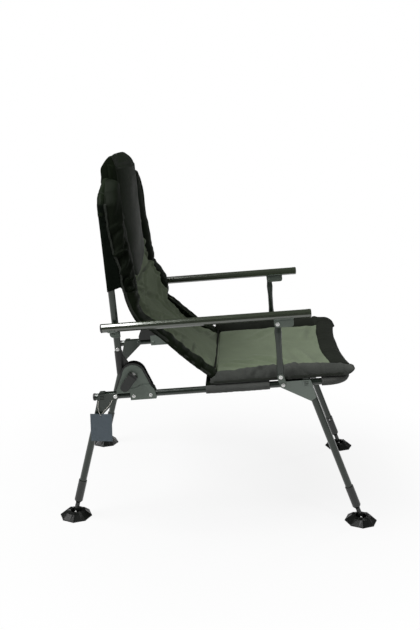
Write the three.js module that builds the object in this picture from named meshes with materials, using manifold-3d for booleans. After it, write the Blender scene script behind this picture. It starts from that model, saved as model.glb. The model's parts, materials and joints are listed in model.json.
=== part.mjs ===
// A folding angler's chair with arm rests, a reclining back, folding telescopic legs and swivelling mud feet.
// Millimetres. The chair faces -Y, +Z is up, and the origin is on the floor under the middle of its footprint.
import * as THREE from "three";
import { mergeVertices } from "three/addons/utils/BufferGeometryUtils.js";
import Module from "manifold-3d";

const wasm = await Module();
wasm.setup();

// Shared clearances
const seatGap = 0.3;
const cutOverrun = 2;
const weldBite = 0.2;
const softGap = 0.3;
const layerGap = 0.2;
const stubClearance = 0.5;
const weldTolerance = 0.0005;

// Facets
const tubeSides = 12;
const capSides = 12;
const rivetSides = 6;
const rivetHeadSides = 8;
const bendSteps = 4;
const stringSteps = 30;
const stpostSides = 6;

// Sheet metal and rivets
const sheetThickness = 1.5;
const rivetRadius = 2.8;
const rivetHeadRadius = 5;
const rivetHeadHeight = 2.2;

// Seat frame: a U of round tube, sloping up to the front
const railHalfWidth = 280;
const railRadius = 10;
const railWall = 1.3;
const railHeight = 419;
const railSlope = THREE.MathUtils.degToRad(5.1);
const railRearEnd = 361;
const railFrontEnd = 376;
const railBendRadius = 50;
const crossTubePlace = 15;
const crossTubeRadius = 9;
const crossTubeWall = 1.2;
const drainHoleRadius = 2;
const capLength = 7;
const capRim = 1;
const capStubLength = 15;
const capEdge = 1.5;

// Leg brackets and legs
const frontPivotPlace = 191.8;
const rearPivotPlace = 301;
const frontLegLean = THREE.MathUtils.degToRad(17.14);
const rearLegLean = THREE.MathUtils.degToRad(18.76);
const frontLegOffset = 72;
const rearLegOffset = 42;
const frontBracketDepth = 55;
const rearBracketDepth = 60;
const bracketEndRadius = 10;
const bracketTopRise = 0.5;
const bracketWebStartShare = 0.4;
const legTubeRadius = 10.5;
const legTubeWall = 1.3;
const legTubeDrop = 15.5;
const innerTubeRadius = 8.5;
const innerTubeWall = 1.2;
const innerTubeLength = 235;
const footPinHeight = 15;
const latchLength = 18;
const latchWidth = 15;
const latchHeight = 4.5;
const latchPlaceShare = 0.93;
const dimpleLength = 22;
const dimpleHeight = 13;
const dimpleRise = 1;
const dimpleSlotWidth = 1.6;
const dimpleSlotPitch = 4.4;

// Leg sockets and snap buttons
const socketRadius = 12.6;
const socketLength = 76;
const socketFloor = 14;
const socketStep = 6;
const socketClearance = 0.45;
const socketAbovePin = 31;
const socketTaper = 8;
const neckRadius = 6.6;
const neckPlateInset = 0.4;
const tongueThickness = 6;
const notchDepth = 15;
const notchClearance = 0.7;
const buttonRadius = 3;
const buttonClearance = 0.35;
const buttonBelowSocketTop = 7;
const buttonStandProud = 1.4;
const buttonRootGap = 0.4;
const buttonEdge = 1;
const buttonHolePitch = 25;
const buttonHoleCount = 5;

// Mud feet
const footRadius = 48.5;
const footHeight = 18;
const footLobeDepth = 2.4;
const footLobes = 8;
const footRibHeight = 1.6;
const footPinRadius = 3;
const footPinStandProud = 1;
const footEarThickness = 3;
const footEarRadius = 6.5;
const footEarHalfWidth = 10;
const footRecessFloor = 7;
const footRingShares = [[1, 0], [1, 0.17], [0.62, 0.9], [0.34, 1], [0.27, 0.39]];
const footStepsPerLobe = 3;

// Recliner joint, given in the world frame
const reclinePivotY = 246;
const reclinePivotZ = 460;
const backTilt = THREE.MathUtils.degToRad(5);
const hubRadius = 24;
const hubHalfWidth = 11.6;
const hubTeeth = 13;
const hubToothHeight = 1.6;
const linkHalfThickness = 3;
const boltRadius = 3.2;
const boltClearance = 0.3;
const boltWasherRadius = 9;
const boltWasherThickness = 1.2;
const boltNutRadius = 7;
const boltNutThickness = 5;
const housingWall = 1.6;
const housingArchRadius = 37;
const coverThickness = 2;
const coverArchRadius = 32;
const reclinerRearReach = 56;
const reclinerFrontReach = 50;
const housingFrontOverlap = 3;
const housingFrontHigh = 27;
const coverInset = 3;
const archRearAngle = THREE.MathUtils.degToRad(8);
const archFrontAngle = THREE.MathUtils.degToRad(152);
const archSteps = 10;
const skirtRise = 2;
const baseFrontReach = 63;
const baseRearReach = 14;
const baseRivetRearReach = 4;
const baseRivetFrontReach = 46;
const baseTopLow = 25;
const baseTopHigh = 34;
const baseShoulder = 18;
const baseCornerRun = 18;
const baseShoulderRun = 6;
const hubSideGap = 0.4;
const postPlateGap = 0.5;

// Cam levers
const leverBarrelRadius = 8.5;
const leverBarrelLength = 27;
const leverPinRadius = 3;
const leverPinLength = 24;
const leverLength = 54;
const leverWidth = 26;
const leverThickness = 5;
const leverRootThickening = 2;
const leverTipThinning = 1;
const leverDirection = THREE.MathUtils.degToRad(-51);

// Back frame, in the leaning frame of the back
const backTubeRadius = 10;
const backTubeWall = 1.3;
const backTubeBehindPivot = 37;
const backTubeLowEnd = 8;
const backShoulderHeight = 472;
const backBendRadius = 50;
const backBowSlope = THREE.MathUtils.degToRad(18);
const backBowRadius = 194;
const backBowHalfFlat = 90;
const sleeveWall = 1.4;
const sleeveLow = 6;
const sleeveHigh = 73;
const sleeveRivetHeight = 80;
const sleeveFootLength = 2;
const linkRearDrop = 4;
const linkFrontDrop = 8;
const tongueLap = 10;
const tongueRadius = 8;
const armLugHeight = 127;
const armLugBehindTube = 7;
const armLugRadius = 9;
const armLugBand = 24;

// Arm rests and their posts
const armOutboard = 28;
const armRadius = 13;
const armWall = 1.5;
const armTilt = THREE.MathUtils.degToRad(5);
const armDrop = 24;
const armFrontReach = 97;
const armRearReach = 504;
const armFrontCap = 16;
const armRearCap = 6;
const armCapStub = 18;
const armCapRim = 0.3;
const armCapDome = 2.5;
const postPivotY = -169;
const postPivotZ = 623.8;
const postFootY = -182;
const postFootZ = 466;
const postEndRadius = 8.4;
const postEndHalfThickness = 3;
const postShoulderHalfWidth = 10.4;
const postMidRadius = 8.5;
const postFlatLength = 11;
const postShoulderLength = 26;
const postNeckLength = 56;
const postEndShares = [[-1, 0.28], [-0.72, 0.7], [0, 1]];
const postFlatWidthShare = 1.08;
const postShoulderDepthShare = 1.7;
const postNeckDepthShare = 0.97;
const postSides = 12;
const frontTabFrontReach = 46;
const frontTabRearReach = 10;
const tabDepth = 9.5;
const tabHalfArc = THREE.MathUtils.degToRad(62);
const rearTabHalfLength = 11;
const stubTail = 1;
const postBracketRadius = 9.8;
const postBracketShelf = 16;

// Upholstery
const sleeveCloth = 2.6;
const slingThickness = 4;
const slingRise = 1.2;
const railSleeveFront = 153;
const railSleeveRear = 34;
const slingNarrowing = 16;
const frontSleeveRear = 304;

// Seat pad: each row is [place along, height, fill of the middle], each column [place across, height]
const seatPadOverhang = 4;
const seatPadRear = 6;
const seatPadFront = 399;
const seatPadFrontDip = 21;
const seatPadBorder = 27;
const seatPadWaistShare = 0.02;
const seatPadAlongShares = [
  [0, 0.5, 0],
  [0.03, 0.78, 0],
  [0.18, 0.86, 0],
  [0.42, 1, 0],
  [0.66, 0.94, 0],
  [0.82, 0.78, 0],
  [0.87, 0.7, 0.1],
  [0.92, 1.04, 0.45],
  [0.97, 1.08, 0.48],
  [1, 0.5, 0.5],
];
const seatPadAcrossShares = [
  [0, 0.42],
  [0.3, 0.44],
  [0.55, 0.52],
  [0.73, 0.7],
  [0.79, 0.63],
  [0.87, 0.95],
  [0.95, 1],
  [1, 0.3],
];

// Lower back pad
const lowerPadInset = 18;
const lowerPadTopY = 290;
const lowerPadTopZ = 740;
const lowerPadFootY = 6;
const lowerPadFootZ = 436;
const lowerPadHeadDepth = 39;
const lowerPadFootDepth = 14;
const lowerPadTaper = 2.2;
const lowerPadQuilt = 2;
const lowerPadQuilts = 4;
const lowerPadRows = 12;
const lowerPadPathShares = [
  [0, 0],
  [0.08, 0.19],
  [0.215, 0.414],
  [0.461, 0.589],
  [0.644, 0.75],
  [0.85, 0.885],
  [1, 1],
];
const lowerPadAcrossShares = [
  [0, 0.52],
  [0.35, 0.54],
  [0.6, 0.62],
  [0.74, 0.74],
  [0.8, 0.66],
  [0.87, 0.95],
  [0.94, 1],
  [1, 0.5],
];

// Back pad, in the leaning frame of the back
const backPadOverhang = 4;
const backPadLow = 246;
const backPadHeadRise = 68;
const backPadHigh = backShoulderHeight + backPadHeadRise;
const backPadFootDepth = 61;
const backPadHeadDepth = 36;
const backPadTaper = 1.2;
const backPadShoulder = 470;
const backPadShoulderDraw = 130;
const backPadShoulderReach = 95;
const backPadRows = 9;
const backPillowHalfWidth = 150;
const backPillowCrest = 26;
const backPillowFootShare = 0.84;
const backPadAcrossShares = [
  [0, 0.72],
  [0.2, 0.73],
  [0.42, 0.77],
  [0.6, 0.84],
  [0.7, 0.83],
  [0.78, 0.95],
  [0.88, 1],
  [0.97, 0.85],
  [1, 0.5],
];

// Hood over the head of the back frame
const hoodInset = 124;
const hoodRear = 51;
const hoodFront = 24;
const hoodFrontDraw = 28;
const hoodRearRise = 68;
const hoodShoulderRise = 128;
const hoodTopRise = 154;
const hoodRearLow = backShoulderHeight + hoodRearRise;
const hoodShoulder = backShoulderHeight + hoodShoulderRise;
const hoodTop = backShoulderHeight + hoodTopRise;
const hoodArch = 20;
const hoodBevel = 13;
const hoodEndDrawShare = 0.06;
const hoodSteps = 8;

// Back sling
const backSlingLow = 250;
const backSlingHigh = 505;
const backSlingCloth = 2.2;
const backSlingFrontLow = 6;
const backSlingFrontHigh = 27;
const backSlingHemRise = 13;
const backSlingSideGap = 0.4;
const backSlingSlack = 1;

// Swing tag on the right rear leg
const tagWidth = 64;
const tagHeight = 86;
const tagThickness = 0.6;
const tagCentreY = 342;
const tagTopZ = 342;
const tagEyeletRadius = 1.8;
const tagEyeletDrop = 5;
const tagOutboard = 22;
const stringRadius = 0.6;

// Colours
const framePaint = new THREE.MeshStandardMaterial({ color: 0x39443d, roughness: 0.42, metalness: 0.5 });
const armPaint = new THREE.MeshStandardMaterial({ color: 0x2b3826, roughness: 0.3, metalness: 0.5 });
const bracketPaint = new THREE.MeshStandardMaterial({ color: 0x46504a, roughness: 0.5, metalness: 0.4 });
const blackPlastic = new THREE.MeshStandardMaterial({ color: 0x151716, roughness: 0.45, metalness: 0 });
const footPlastic = new THREE.MeshStandardMaterial({ color: 0x101110, roughness: 0.28, metalness: 0 });
const brightSteel = new THREE.MeshStandardMaterial({ color: 0xc8ccc8, roughness: 0.3, metalness: 0.9 });
const blackCloth = new THREE.MeshStandardMaterial({ color: 0x232020, roughness: 0.9, metalness: 0 });
const greenCloth = new THREE.MeshStandardMaterial({ color: 0x667460, roughness: 0.95, metalness: 0 });
const tagCard = new THREE.MeshStandardMaterial({ color: 0x44525c, roughness: 0.6, metalness: 0 });
const tagString = new THREE.MeshStandardMaterial({ color: 0xd8d4c8, roughness: 0.8, metalness: 0 });

// Both sides of the chair and both ends of a rail
const sides = [
  { name: "right", sign: -1 },
  { name: "left", sign: 1 },
];
const ends = [
  {
    name: "front",
    sign: -1,
    pivot: frontPivotPlace,
    offset: frontLegOffset,
    lean: frontLegLean,
    depth: frontBracketDepth,
  },
  {
    name: "rear",
    sign: 1,
    pivot: rearPivotPlace,
    offset: rearLegOffset,
    lean: rearLegLean,
    depth: rearBracketDepth,
  },
];

// Joining and cutting

function solid(geometry) {
  const loose = geometry.index ? geometry.toNonIndexed() : geometry;
  const bare = new THREE.BufferGeometry();
  bare.setAttribute("position", loose.getAttribute("position"));
  const merged = mergeVertices(bare, weldTolerance);
  const vertProperties = merged.getAttribute("position").array;
  const triVerts = new Uint32Array(merged.index.array);
  return new wasm.Manifold(new wasm.Mesh({ numProp: 3, vertProperties, triVerts }));
}

function geometryOf(body) {
  const mesh = body.getMesh();
  const geometry = new THREE.BufferGeometry();
  geometry.setAttribute("position", new THREE.BufferAttribute(mesh.vertProperties, 3));
  geometry.setIndex(new THREE.BufferAttribute(mesh.triVerts, 1));
  return geometry;
}

function join(...pieces) {
  return geometryOf(pieces.map(solid).reduce((whole, piece) => whole.add(piece)));
}

function cut(body, ...tools) {
  return geometryOf(tools.map(solid).reduce((whole, tool) => whole.subtract(tool), solid(body)));
}

function common(...pieces) {
  return geometryOf(pieces.map(solid).reduce((whole, piece) => whole.intersect(piece)));
}

// Basic forms

const alongX = new THREE.Vector3(1, 0, 0);
const alongY = new THREE.Vector3(0, 1, 0);
const alongZ = new THREE.Vector3(0, 0, 1);

function point(x, y, z) {
  return new THREE.Vector3(x, y, z);
}

// A form revolved round the line from one point towards another; the profile is [radius, height] pairs.
function revolve(profile, from, direction, steps) {
  const points = profile.map(([radius, height]) => new THREE.Vector2(radius, height));
  const geometry = new THREE.LatheGeometry(points, steps);
  geometry.applyQuaternion(new THREE.Quaternion().setFromUnitVectors(alongY, direction));
  return geometry.translate(from.x, from.y, from.z);
}

function rod(radius, from, to, steps = tubeSides) {
  const length = from.distanceTo(to);
  const direction = to.clone().sub(from).normalize();
  return revolve([[0, 0], [radius, 0], [radius, length], [0, length]], from, direction, steps);
}

function pipe(outer, inner, from, to, steps = tubeSides) {
  const length = from.distanceTo(to);
  const direction = to.clone().sub(from).normalize();
  const profile = [[inner, 0], [outer, 0], [outer, length], [inner, length], [inner, 0]];
  return revolve(profile, from, direction, steps);
}

function block(low, high) {
  const size = high.clone().sub(low);
  const middle = high.clone().add(low).multiplyScalar(1 / 2);
  return new THREE.BoxGeometry(size.x, size.y, size.z).translate(middle.x, middle.y, middle.z);
}

// A plate whose outline lies in the YZ plane, between two places on X.
function plate(shape, fromX, toX, steps = 1) {
  const low = Math.min(fromX, toX);
  const high = Math.max(fromX, toX);
  const geometry = new THREE.ExtrudeGeometry(shape, { depth: high - low, steps, bevelEnabled: false });
  geometry.applyMatrix4(new THREE.Matrix4().makeBasis(alongY, alongZ, alongX));
  return geometry.translate(low, 0, 0);
}

// The same body with each point moved by a rule.
function reshaped(geometry, rule) {
  const places = geometry.getAttribute("position");
  for (let i = 0; i < places.count; i += 1) {
    places.setXYZ(i, ...rule(places.getX(i), places.getY(i), places.getZ(i)));
  }
  return geometry;
}

// A bar whose outline lies in the XZ plane, between two places on Y.
function bar(shape, fromY, toY) {
  const geometry = new THREE.ExtrudeGeometry(shape, { depth: toY - fromY, bevelEnabled: false });
  geometry.applyMatrix4(new THREE.Matrix4().makeBasis(alongX, alongZ.clone(), alongY.clone().negate()));
  return geometry.translate(0, toY, 0);
}

function outline(points) {
  return new THREE.Shape(points.map(([across, up]) => new THREE.Vector2(across, up)));
}

// Points on an arc, for an outline.
function arcPoints(across, up, radius, startAngle, endAngle, steps) {
  const points = [];
  for (let i = 0; i <= steps; i += 1) {
    const angle = startAngle + ((endAngle - startAngle) * i) / steps;
    points.push([across + radius * Math.cos(angle), up + radius * Math.sin(angle)]);
  }
  return points;
}

// An outline with round ends about two centres.
function capsule(acrossA, upA, acrossB, upB, radius, steps) {
  const heading = Math.atan2(upB - upA, acrossB - acrossA);
  const quarter = Math.PI / 2;
  return outline([
    ...arcPoints(acrossA, upA, radius, heading + quarter, heading + 3 * quarter, steps),
    ...arcPoints(acrossB, upB, radius, heading - quarter, heading + quarter, steps),
  ]);
}

// A path whose rings stand exactly on the given points.
class PointPath extends THREE.Curve {
  constructor(points) {
    super();
    this.points = points;
  }

  getPoint(share) {
    const place = share * (this.points.length - 1);
    const index = Math.min(Math.floor(place), this.points.length - 2);
    return this.points[index].clone().lerp(this.points[index + 1], place - index);
  }

  getPointAt(share) {
    return this.getPoint(share);
  }

  getTangentAt(share) {
    const last = this.points.length - 1;
    const index = Math.round(share * last);
    const before = this.points[Math.max(index - 1, 0)];
    const after = this.points[Math.min(index + 1, last)];
    const here = this.points[index];
    const into = here.clone().sub(before).normalize();
    const out = after.clone().sub(here).normalize();
    return into.add(out).normalize();
  }
}

// A bent tube, open at both ends, or a solid rod where no bore is given.
function bentTube(points, outer, inner, steps = tubeSides) {
  const ring = (radius) => arcPoints(0, 0, radius, 0, 2 * Math.PI, steps).slice(0, -1);
  const shape = outline(ring(outer));
  if (inner) shape.holes.push(new THREE.Path(ring(inner).map(([x, y]) => new THREE.Vector2(x, y))));
  const extrudePath = new PointPath(points);
  return new THREE.ExtrudeGeometry(shape, { steps: points.length - 1, extrudePath, bevelEnabled: false });
}

// Points of a bend in the plane of two directions, from the end of one straight to the start of the next.
function bendPoints(centre, radius, from, to, sweep = Math.PI / 2) {
  const points = [];
  for (let i = 0; i <= bendSteps; i += 1) {
    const angle = (sweep * i) / bendSteps;
    const arm = from.clone().multiplyScalar(Math.cos(angle)).addScaledVector(to, Math.sin(angle));
    points.push(centre.clone().addScaledVector(arm, radius));
  }
  return points;
}

// A closed body between two grids of points, given over shares of its width and length.
function loft(columns, rows, face, back) {
  const positions = [];
  const index = [];
  const row = columns + 1;
  const layer = row * (rows + 1);
  for (const surface of [face, back]) {
    for (let j = 0; j <= rows; j += 1) {
      for (let i = 0; i <= columns; i += 1) positions.push(...surface(i / columns, j / rows));
    }
  }
  const quad = (a, b, c, d) => index.push(a, b, c, a, c, d);
  for (let j = 0; j < rows; j += 1) {
    for (let i = 0; i < columns; i += 1) {
      const a = j * row + i;
      quad(a, a + 1, a + row + 1, a + row);
      quad(layer + a, layer + a + row, layer + a + row + 1, layer + a + 1);
    }
  }
  for (let i = 0; i < columns; i += 1) {
    const top = rows * row + i;
    quad(i, layer + i, layer + i + 1, i + 1);
    quad(top, top + 1, layer + top + 1, layer + top);
  }
  for (let j = 0; j < rows; j += 1) {
    const low = j * row;
    const high = low + columns;
    quad(low, low + row, layer + low + row, layer + low);
    quad(high, layer + high, layer + high + row, high + row);
  }
  const geometry = new THREE.BufferGeometry();
  geometry.setAttribute("position", new THREE.BufferAttribute(new Float32Array(positions), 3));
  geometry.setIndex(index);
  return solid(geometry).volume() < 0 ? turned(geometry) : geometry;
}

function turned(geometry) {
  const index = geometry.index.array;
  for (let i = 0; i < index.length; i += 3) [index[i + 1], index[i + 2]] = [index[i + 2], index[i + 1]];
  return geometry;
}

// A rivet along X with a domed head at each end that is asked for.
function rivet(y, z, fromX, toX, headAtFrom, headAtTo) {
  const pieces = [rod(rivetRadius, point(fromX, y, z), point(toX, y, z), rivetSides)];
  const dome = [
    [0, -weldBite],
    [rivetHeadRadius, -weldBite],
    [rivetHeadRadius, rivetHeadHeight / 3],
    [rivetHeadRadius * 0.6, rivetHeadHeight],
    [0, rivetHeadHeight],
  ];
  const heading = Math.sign(toX - fromX);
  if (headAtFrom) pieces.push(revolve(dome, point(fromX, y, z), point(-heading, 0, 0), rivetHeadSides));
  if (headAtTo) pieces.push(revolve(dome, point(toX, y, z), point(heading, 0, 0), rivetHeadSides));
  return pieces.length > 1 ? join(...pieces) : pieces[0];
}

// A hole's corners lie further out, so that its flats keep their clearance.
function flatsAt(radius, steps) {
  return radius / Math.cos(Math.PI / steps);
}

function hole(y, z, fromX, toX, radius = rivetRadius + seatGap, steps = rivetSides) {
  return rod(flatsAt(radius, steps), point(fromX, y, z), point(toX, y, z), steps);
}

// Places on X counted outwards from the middle of a rail.
function outboard(side, distance) {
  return side.sign * (railHalfWidth + distance);
}

// The layers of sheet beside a rail, counted outwards
const bracketInner = railRadius + seatGap;
const bracketOuter = bracketInner + sheetThickness;
const postPlateInner = bracketOuter + postPlateGap;
const postPlateOuter = postPlateInner + sheetThickness;
const housingInner = hubHalfWidth + hubSideGap;
const housingOuter = housingInner + housingWall;
const coverInner = housingOuter + layerGap;
const coverOuter = coverInner + coverThickness;
const baseInner = coverOuter + layerGap;
const baseOuter = baseInner + sheetThickness;
const baseInboard = housingOuter + layerGap;
const leverPinOut = baseOuter + leverBarrelRadius + layerGap;
const postCheekInner = armOutboard - postEndHalfThickness - seatGap - sheetThickness;
const postCheekOuter = armOutboard + postEndHalfThickness + seatGap + sheetThickness;

// The frames that the pieces are modelled in

const chair = new THREE.Group();

const seatGroup = new THREE.Group();
seatGroup.position.set(0, 0, railHeight);
seatGroup.rotation.x = -railSlope;
chair.add(seatGroup);

const backGroup = new THREE.Group();
backGroup.position.set(0, reclinePivotY, reclinePivotZ);
backGroup.rotation.x = -backTilt;
chair.add(backGroup);

const armGroup = new THREE.Group();
armGroup.position.set(0, postPivotY, postPivotZ);
armGroup.rotation.x = -armTilt;
chair.add(armGroup);

const postLean = Math.atan2(postPivotY - postFootY, postPivotZ - postFootZ);
const postLength = Math.hypot(postPivotY - postFootY, postPivotZ - postFootZ);
const postGroup = new THREE.Group();
postGroup.position.set(0, postFootY, postFootZ);
postGroup.rotation.x = -postLean;
chair.add(postGroup);

chair.updateMatrixWorld(true);

function inFrameOf(group, y, z) {
  return group.worldToLocal(point(0, y, z));
}

const reclineInSeat = inFrameOf(seatGroup, reclinePivotY, reclinePivotZ);
const postFootInSeat = inFrameOf(seatGroup, postFootY, postFootZ);

function addMesh(group, name, geometry, material) {
  geometry.computeVertexNormals();
  const mesh = new THREE.Mesh(geometry, material);
  mesh.name = name;
  group.add(mesh);
  return mesh;
}

// Seat frame

function latchClip(side, end) {
  const middle = end.sign * (end.pivot + end.offset * latchPlaceShare);
  const half = latchLength / 2;
  const top = railRadius + latchHeight;
  const shape = outline([
    [middle - half, railRadius - cutOverrun],
    [middle + half, railRadius - cutOverrun],
    [middle + half, top - latchHeight / 3],
    [middle + half * 0.7, top],
    [middle - half * 0.7, top],
    [middle - half, top - latchHeight / 3],
  ]);
  return plate(shape, outboard(side, -latchWidth / 2), outboard(side, latchWidth / 2));
}

// The bend across the front of the rails, from the right rail to the left.
function frontBend() {
  const bendPlace = railBendRadius - railFrontEnd;
  const inset = railHalfWidth - railBendRadius;
  const forward = point(0, -1, 0);
  return [
    ...bendPoints(point(-inset, bendPlace, 0), railBendRadius, point(-1, 0, 0), forward),
    ...bendPoints(point(inset, bendPlace, 0), railBendRadius, forward, point(1, 0, 0)),
  ];
}

function seatFrame() {
  const path = [
    point(-railHalfWidth, railRearEnd, 0),
    ...frontBend(),
    point(railHalfWidth, railRearEnd, 0),
  ];
  const reach = railHalfWidth - railRadius + railWall / 2;
  const crossTube = pipe(
    crossTubeRadius,
    crossTubeRadius - crossTubeWall,
    point(-reach, crossTubePlace, 0),
    point(reach, crossTubePlace, 0),
  );
  const drain = rod(
    drainHoleRadius,
    point(0, crossTubePlace, -crossTubeRadius - cutOverrun),
    point(0, crossTubePlace, 0),
    rivetSides,
  );
  const clips = sides.flatMap((side) => ends.map((end) => latchClip(side, end)));
  const holes = [];
  for (const side of sides) {
    const from = outboard(side, -railRadius - cutOverrun);
    const to = outboard(side, railRadius + cutOverrun);
    for (const end of ends) holes.push(hole(end.sign * end.pivot, 0, from, to));
    for (const reachAlong of [baseRivetRearReach, -baseRivetFrontReach]) {
      holes.push(hole(reclineInSeat.y + reachAlong, 0, from, to));
    }
  }
  const bore = bentTube(path, railRadius - railWall, 0);
  const rails = cut(join(bentTube(path, railRadius, 0), ...clips), bore);
  return cut(join(rails, crossTube), drain, ...holes);
}

addMesh(seatGroup, "seat_frame", seatFrame(), framePaint);

function railCap(side) {
  const stub = railRadius - railWall - stubClearance;
  const rim = railRadius + capRim;
  const profile = [
    [0, -capStubLength],
    [stub, -capStubLength],
    [stub, seatGap],
    [rim, seatGap],
    [rim, capLength - capEdge],
    [rim - capEdge, capLength],
    [0, capLength],
  ];
  return revolve(profile, point(outboard(side, 0), railRearEnd, 0), alongY, capSides);
}

for (const side of sides) addMesh(seatGroup, "rail_cap_" + side.name, railCap(side), blackPlastic);

// Recliner: base, housing, cover and clamp bolt, carried by the rail

const pivotAlong = reclineInSeat.y;
const pivotUp = reclineInSeat.z;

// A bell outline: an arch round the pivot that runs down to the rail.
function bellOutline(archRadius, rearFoot, frontFoot, rearUp, frontUp) {
  const tail = railRadius - skirtRise;
  return [
    ...arcPoints(pivotAlong, pivotUp, archRadius, archRearAngle, archFrontAngle, archSteps),
    [pivotAlong - frontFoot, frontUp],
    [pivotAlong - frontFoot, -tail],
    [pivotAlong + baseRearReach, -tail],
    [pivotAlong + baseRearReach, railRadius + seatGap],
    [pivotAlong + rearFoot, railRadius + seatGap],
    [pivotAlong + rearFoot, rearUp],
  ];
}

function baseRivetPlaces() {
  return [pivotAlong + baseRivetRearReach, pivotAlong - baseRivetFrontReach];
}

function reclinerBase(side) {
  const under = -railRadius - seatGap;
  const floor = under - sheetThickness;
  const front = pivotAlong - baseFrontReach;
  const rear = pivotAlong + baseRearReach;
  const shape = outline([
    [rear, floor],
    [rear, baseTopLow - sheetThickness],
    [rear - baseCornerRun, baseTopLow],
    [pivotAlong - baseRivetFrontReach / 2, baseTopHigh],
    [front + baseCornerRun, baseTopHigh],
    [front + baseShoulderRun, baseShoulder],
    [front, -sheetThickness],
    [front + sheetThickness, floor],
  ]);
  const whole = plate(shape, outboard(side, -baseInboard - sheetThickness), outboard(side, baseOuter));
  const inside = block(
    point(Math.min(outboard(side, -baseInboard), outboard(side, baseInner)), front - cutOverrun, under),
    point(
      Math.max(outboard(side, -baseInboard), outboard(side, baseInner)),
      rear + cutOverrun,
      baseTopHigh + cutOverrun,
    ),
  );
  const rivets = baseRivetPlaces().map((along) =>
    rivet(along, 0, outboard(side, -baseInboard - sheetThickness), outboard(side, baseOuter), true, true),
  );
  return join(cut(whole, inside), ...rivets);
}

function boltHole(side) {
  const from = outboard(side, -baseOuter);
  const to = outboard(side, baseOuter);
  return hole(pivotAlong, pivotUp, from, to, boltRadius + boltClearance);
}

function reclinerHousing(side) {
  const shape = outline(
    bellOutline(
      housingArchRadius,
      reclinerRearReach,
      reclinerFrontReach + housingFrontOverlap,
      baseTopLow,
      housingFrontHigh,
    ),
  );
  const walls = [
    [-housingOuter, -housingInner],
    [housingInner, housingOuter],
  ].map(([low, high]) => plate(shape, outboard(side, low), outboard(side, high)));
  const floor = block(
    point(
      Math.min(outboard(side, -housingOuter), outboard(side, housingOuter)),
      pivotAlong - reclinerFrontReach,
      railRadius + seatGap,
    ),
    point(
      Math.max(outboard(side, -housingOuter), outboard(side, housingOuter)),
      pivotAlong + reclinerRearReach,
      railRadius + seatGap + housingWall,
    ),
  );
  const rivetHoles = baseRivetPlaces().map((along) =>
    hole(along, 0, outboard(side, -baseOuter), outboard(side, baseOuter)),
  );
  return cut(join(...walls, floor), boltHole(side), ...rivetHoles);
}

function reclinerCover(side) {
  const shape = outline(
    bellOutline(
      coverArchRadius,
      reclinerRearReach - coverInset,
      reclinerFrontReach,
      baseTopLow - coverInset,
      housingFrontHigh - coverInset,
    ),
  );
  const sheet = plate(shape, outboard(side, coverInner), outboard(side, coverOuter));
  const rivetHoles = baseRivetPlaces().map((along) => hole(along, 0, outboard(side, 0), outboard(side, baseOuter)));
  return cut(sheet, boltHole(side), ...rivetHoles);
}

// The lever lies in the plane of the cover; its pin runs across it.
const leverAlong = point(0, Math.cos(leverDirection), Math.sin(leverDirection));
const leverAcross = point(0, -Math.sin(leverDirection), Math.cos(leverDirection));

function reclinerBolt(side) {
  const centre = point(outboard(side, leverPinOut), pivotAlong, pivotUp);
  const nutFace = outboard(side, -housingOuter - seatGap);
  const shank = rod(boltRadius, point(nutFace, pivotAlong, pivotUp), centre, capSides);
  const outward = point(side.sign, 0, 0);
  const nut = revolve(
    [[0, -weldBite], [boltNutRadius, -weldBite], [boltNutRadius, boltNutThickness], [0, boltNutThickness]],
    point(nutFace, pivotAlong, pivotUp),
    outward.clone().negate(),
    6,
  );
  const washerFace = coverOuter + seatGap;
  const washer = revolve(
    [[0, 0], [boltWasherRadius, 0], [boltWasherRadius, boltWasherThickness], [0, boltWasherThickness]],
    point(outboard(side, washerFace), pivotAlong, pivotUp),
    outward,
    capSides,
  );
  const half = leverPinLength / 2;
  const pin = rod(
    leverPinRadius,
    centre.clone().addScaledVector(leverAcross, -half),
    centre.clone().addScaledVector(leverAcross, half),
    capSides,
  );
  return join(shank, nut, washer, pin);
}

function camLever(side) {
  const barrelHalf = leverBarrelLength / 2;
  const thin = leverThickness / 2;
  const profile = [
    [0, leverBarrelRadius - leverTipThinning],
    [leverLength * 0.35, thin + leverRootThickening],
    [leverLength * 0.7, thin],
    [leverLength, thin - leverTipThinning],
    [leverLength, -thin],
    [leverLength * 0.6, -thin - leverTipThinning],
    [0, leverTipThinning - leverBarrelRadius],
  ];
  const paddle = plate(outline(profile), -leverWidth / 2, leverWidth / 2);
  const trim = capsule(0, 0, leverLength - leverWidth / 2, 0, leverWidth / 2, 8);
  const trimmer = new THREE.ExtrudeGeometry(trim, { depth: 4 * leverBarrelRadius, bevelEnabled: false });
  trimmer.applyMatrix4(new THREE.Matrix4().makeBasis(alongY, alongX, alongZ.clone().negate()));
  trimmer.translate(0, 0, 2 * leverBarrelRadius);
  const barrel = rod(leverBarrelRadius, point(-barrelHalf, 0, 0), point(barrelHalf, 0, 0), capSides);
  const bore = rod(
    leverPinRadius + seatGap,
    point(-barrelHalf - cutOverrun, 0, 0),
    point(barrelHalf + cutOverrun, 0, 0),
    capSides,
  );
  const slotHalf = boltRadius + seatGap;
  const slot = block(
    point(-slotHalf, -2 * leverBarrelRadius, -2 * leverBarrelRadius),
    point(slotHalf, slotHalf, slotHalf),
  );
  const lever = cut(join(common(paddle, trimmer), barrel), bore, slot);
  const outward = point(side.sign, 0, 0);
  const across = leverAlong.clone().cross(outward);
  lever.applyMatrix4(new THREE.Matrix4().makeBasis(across, leverAlong, outward));
  return lever.translate(outboard(side, leverPinOut), pivotAlong, pivotUp);
}

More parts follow.
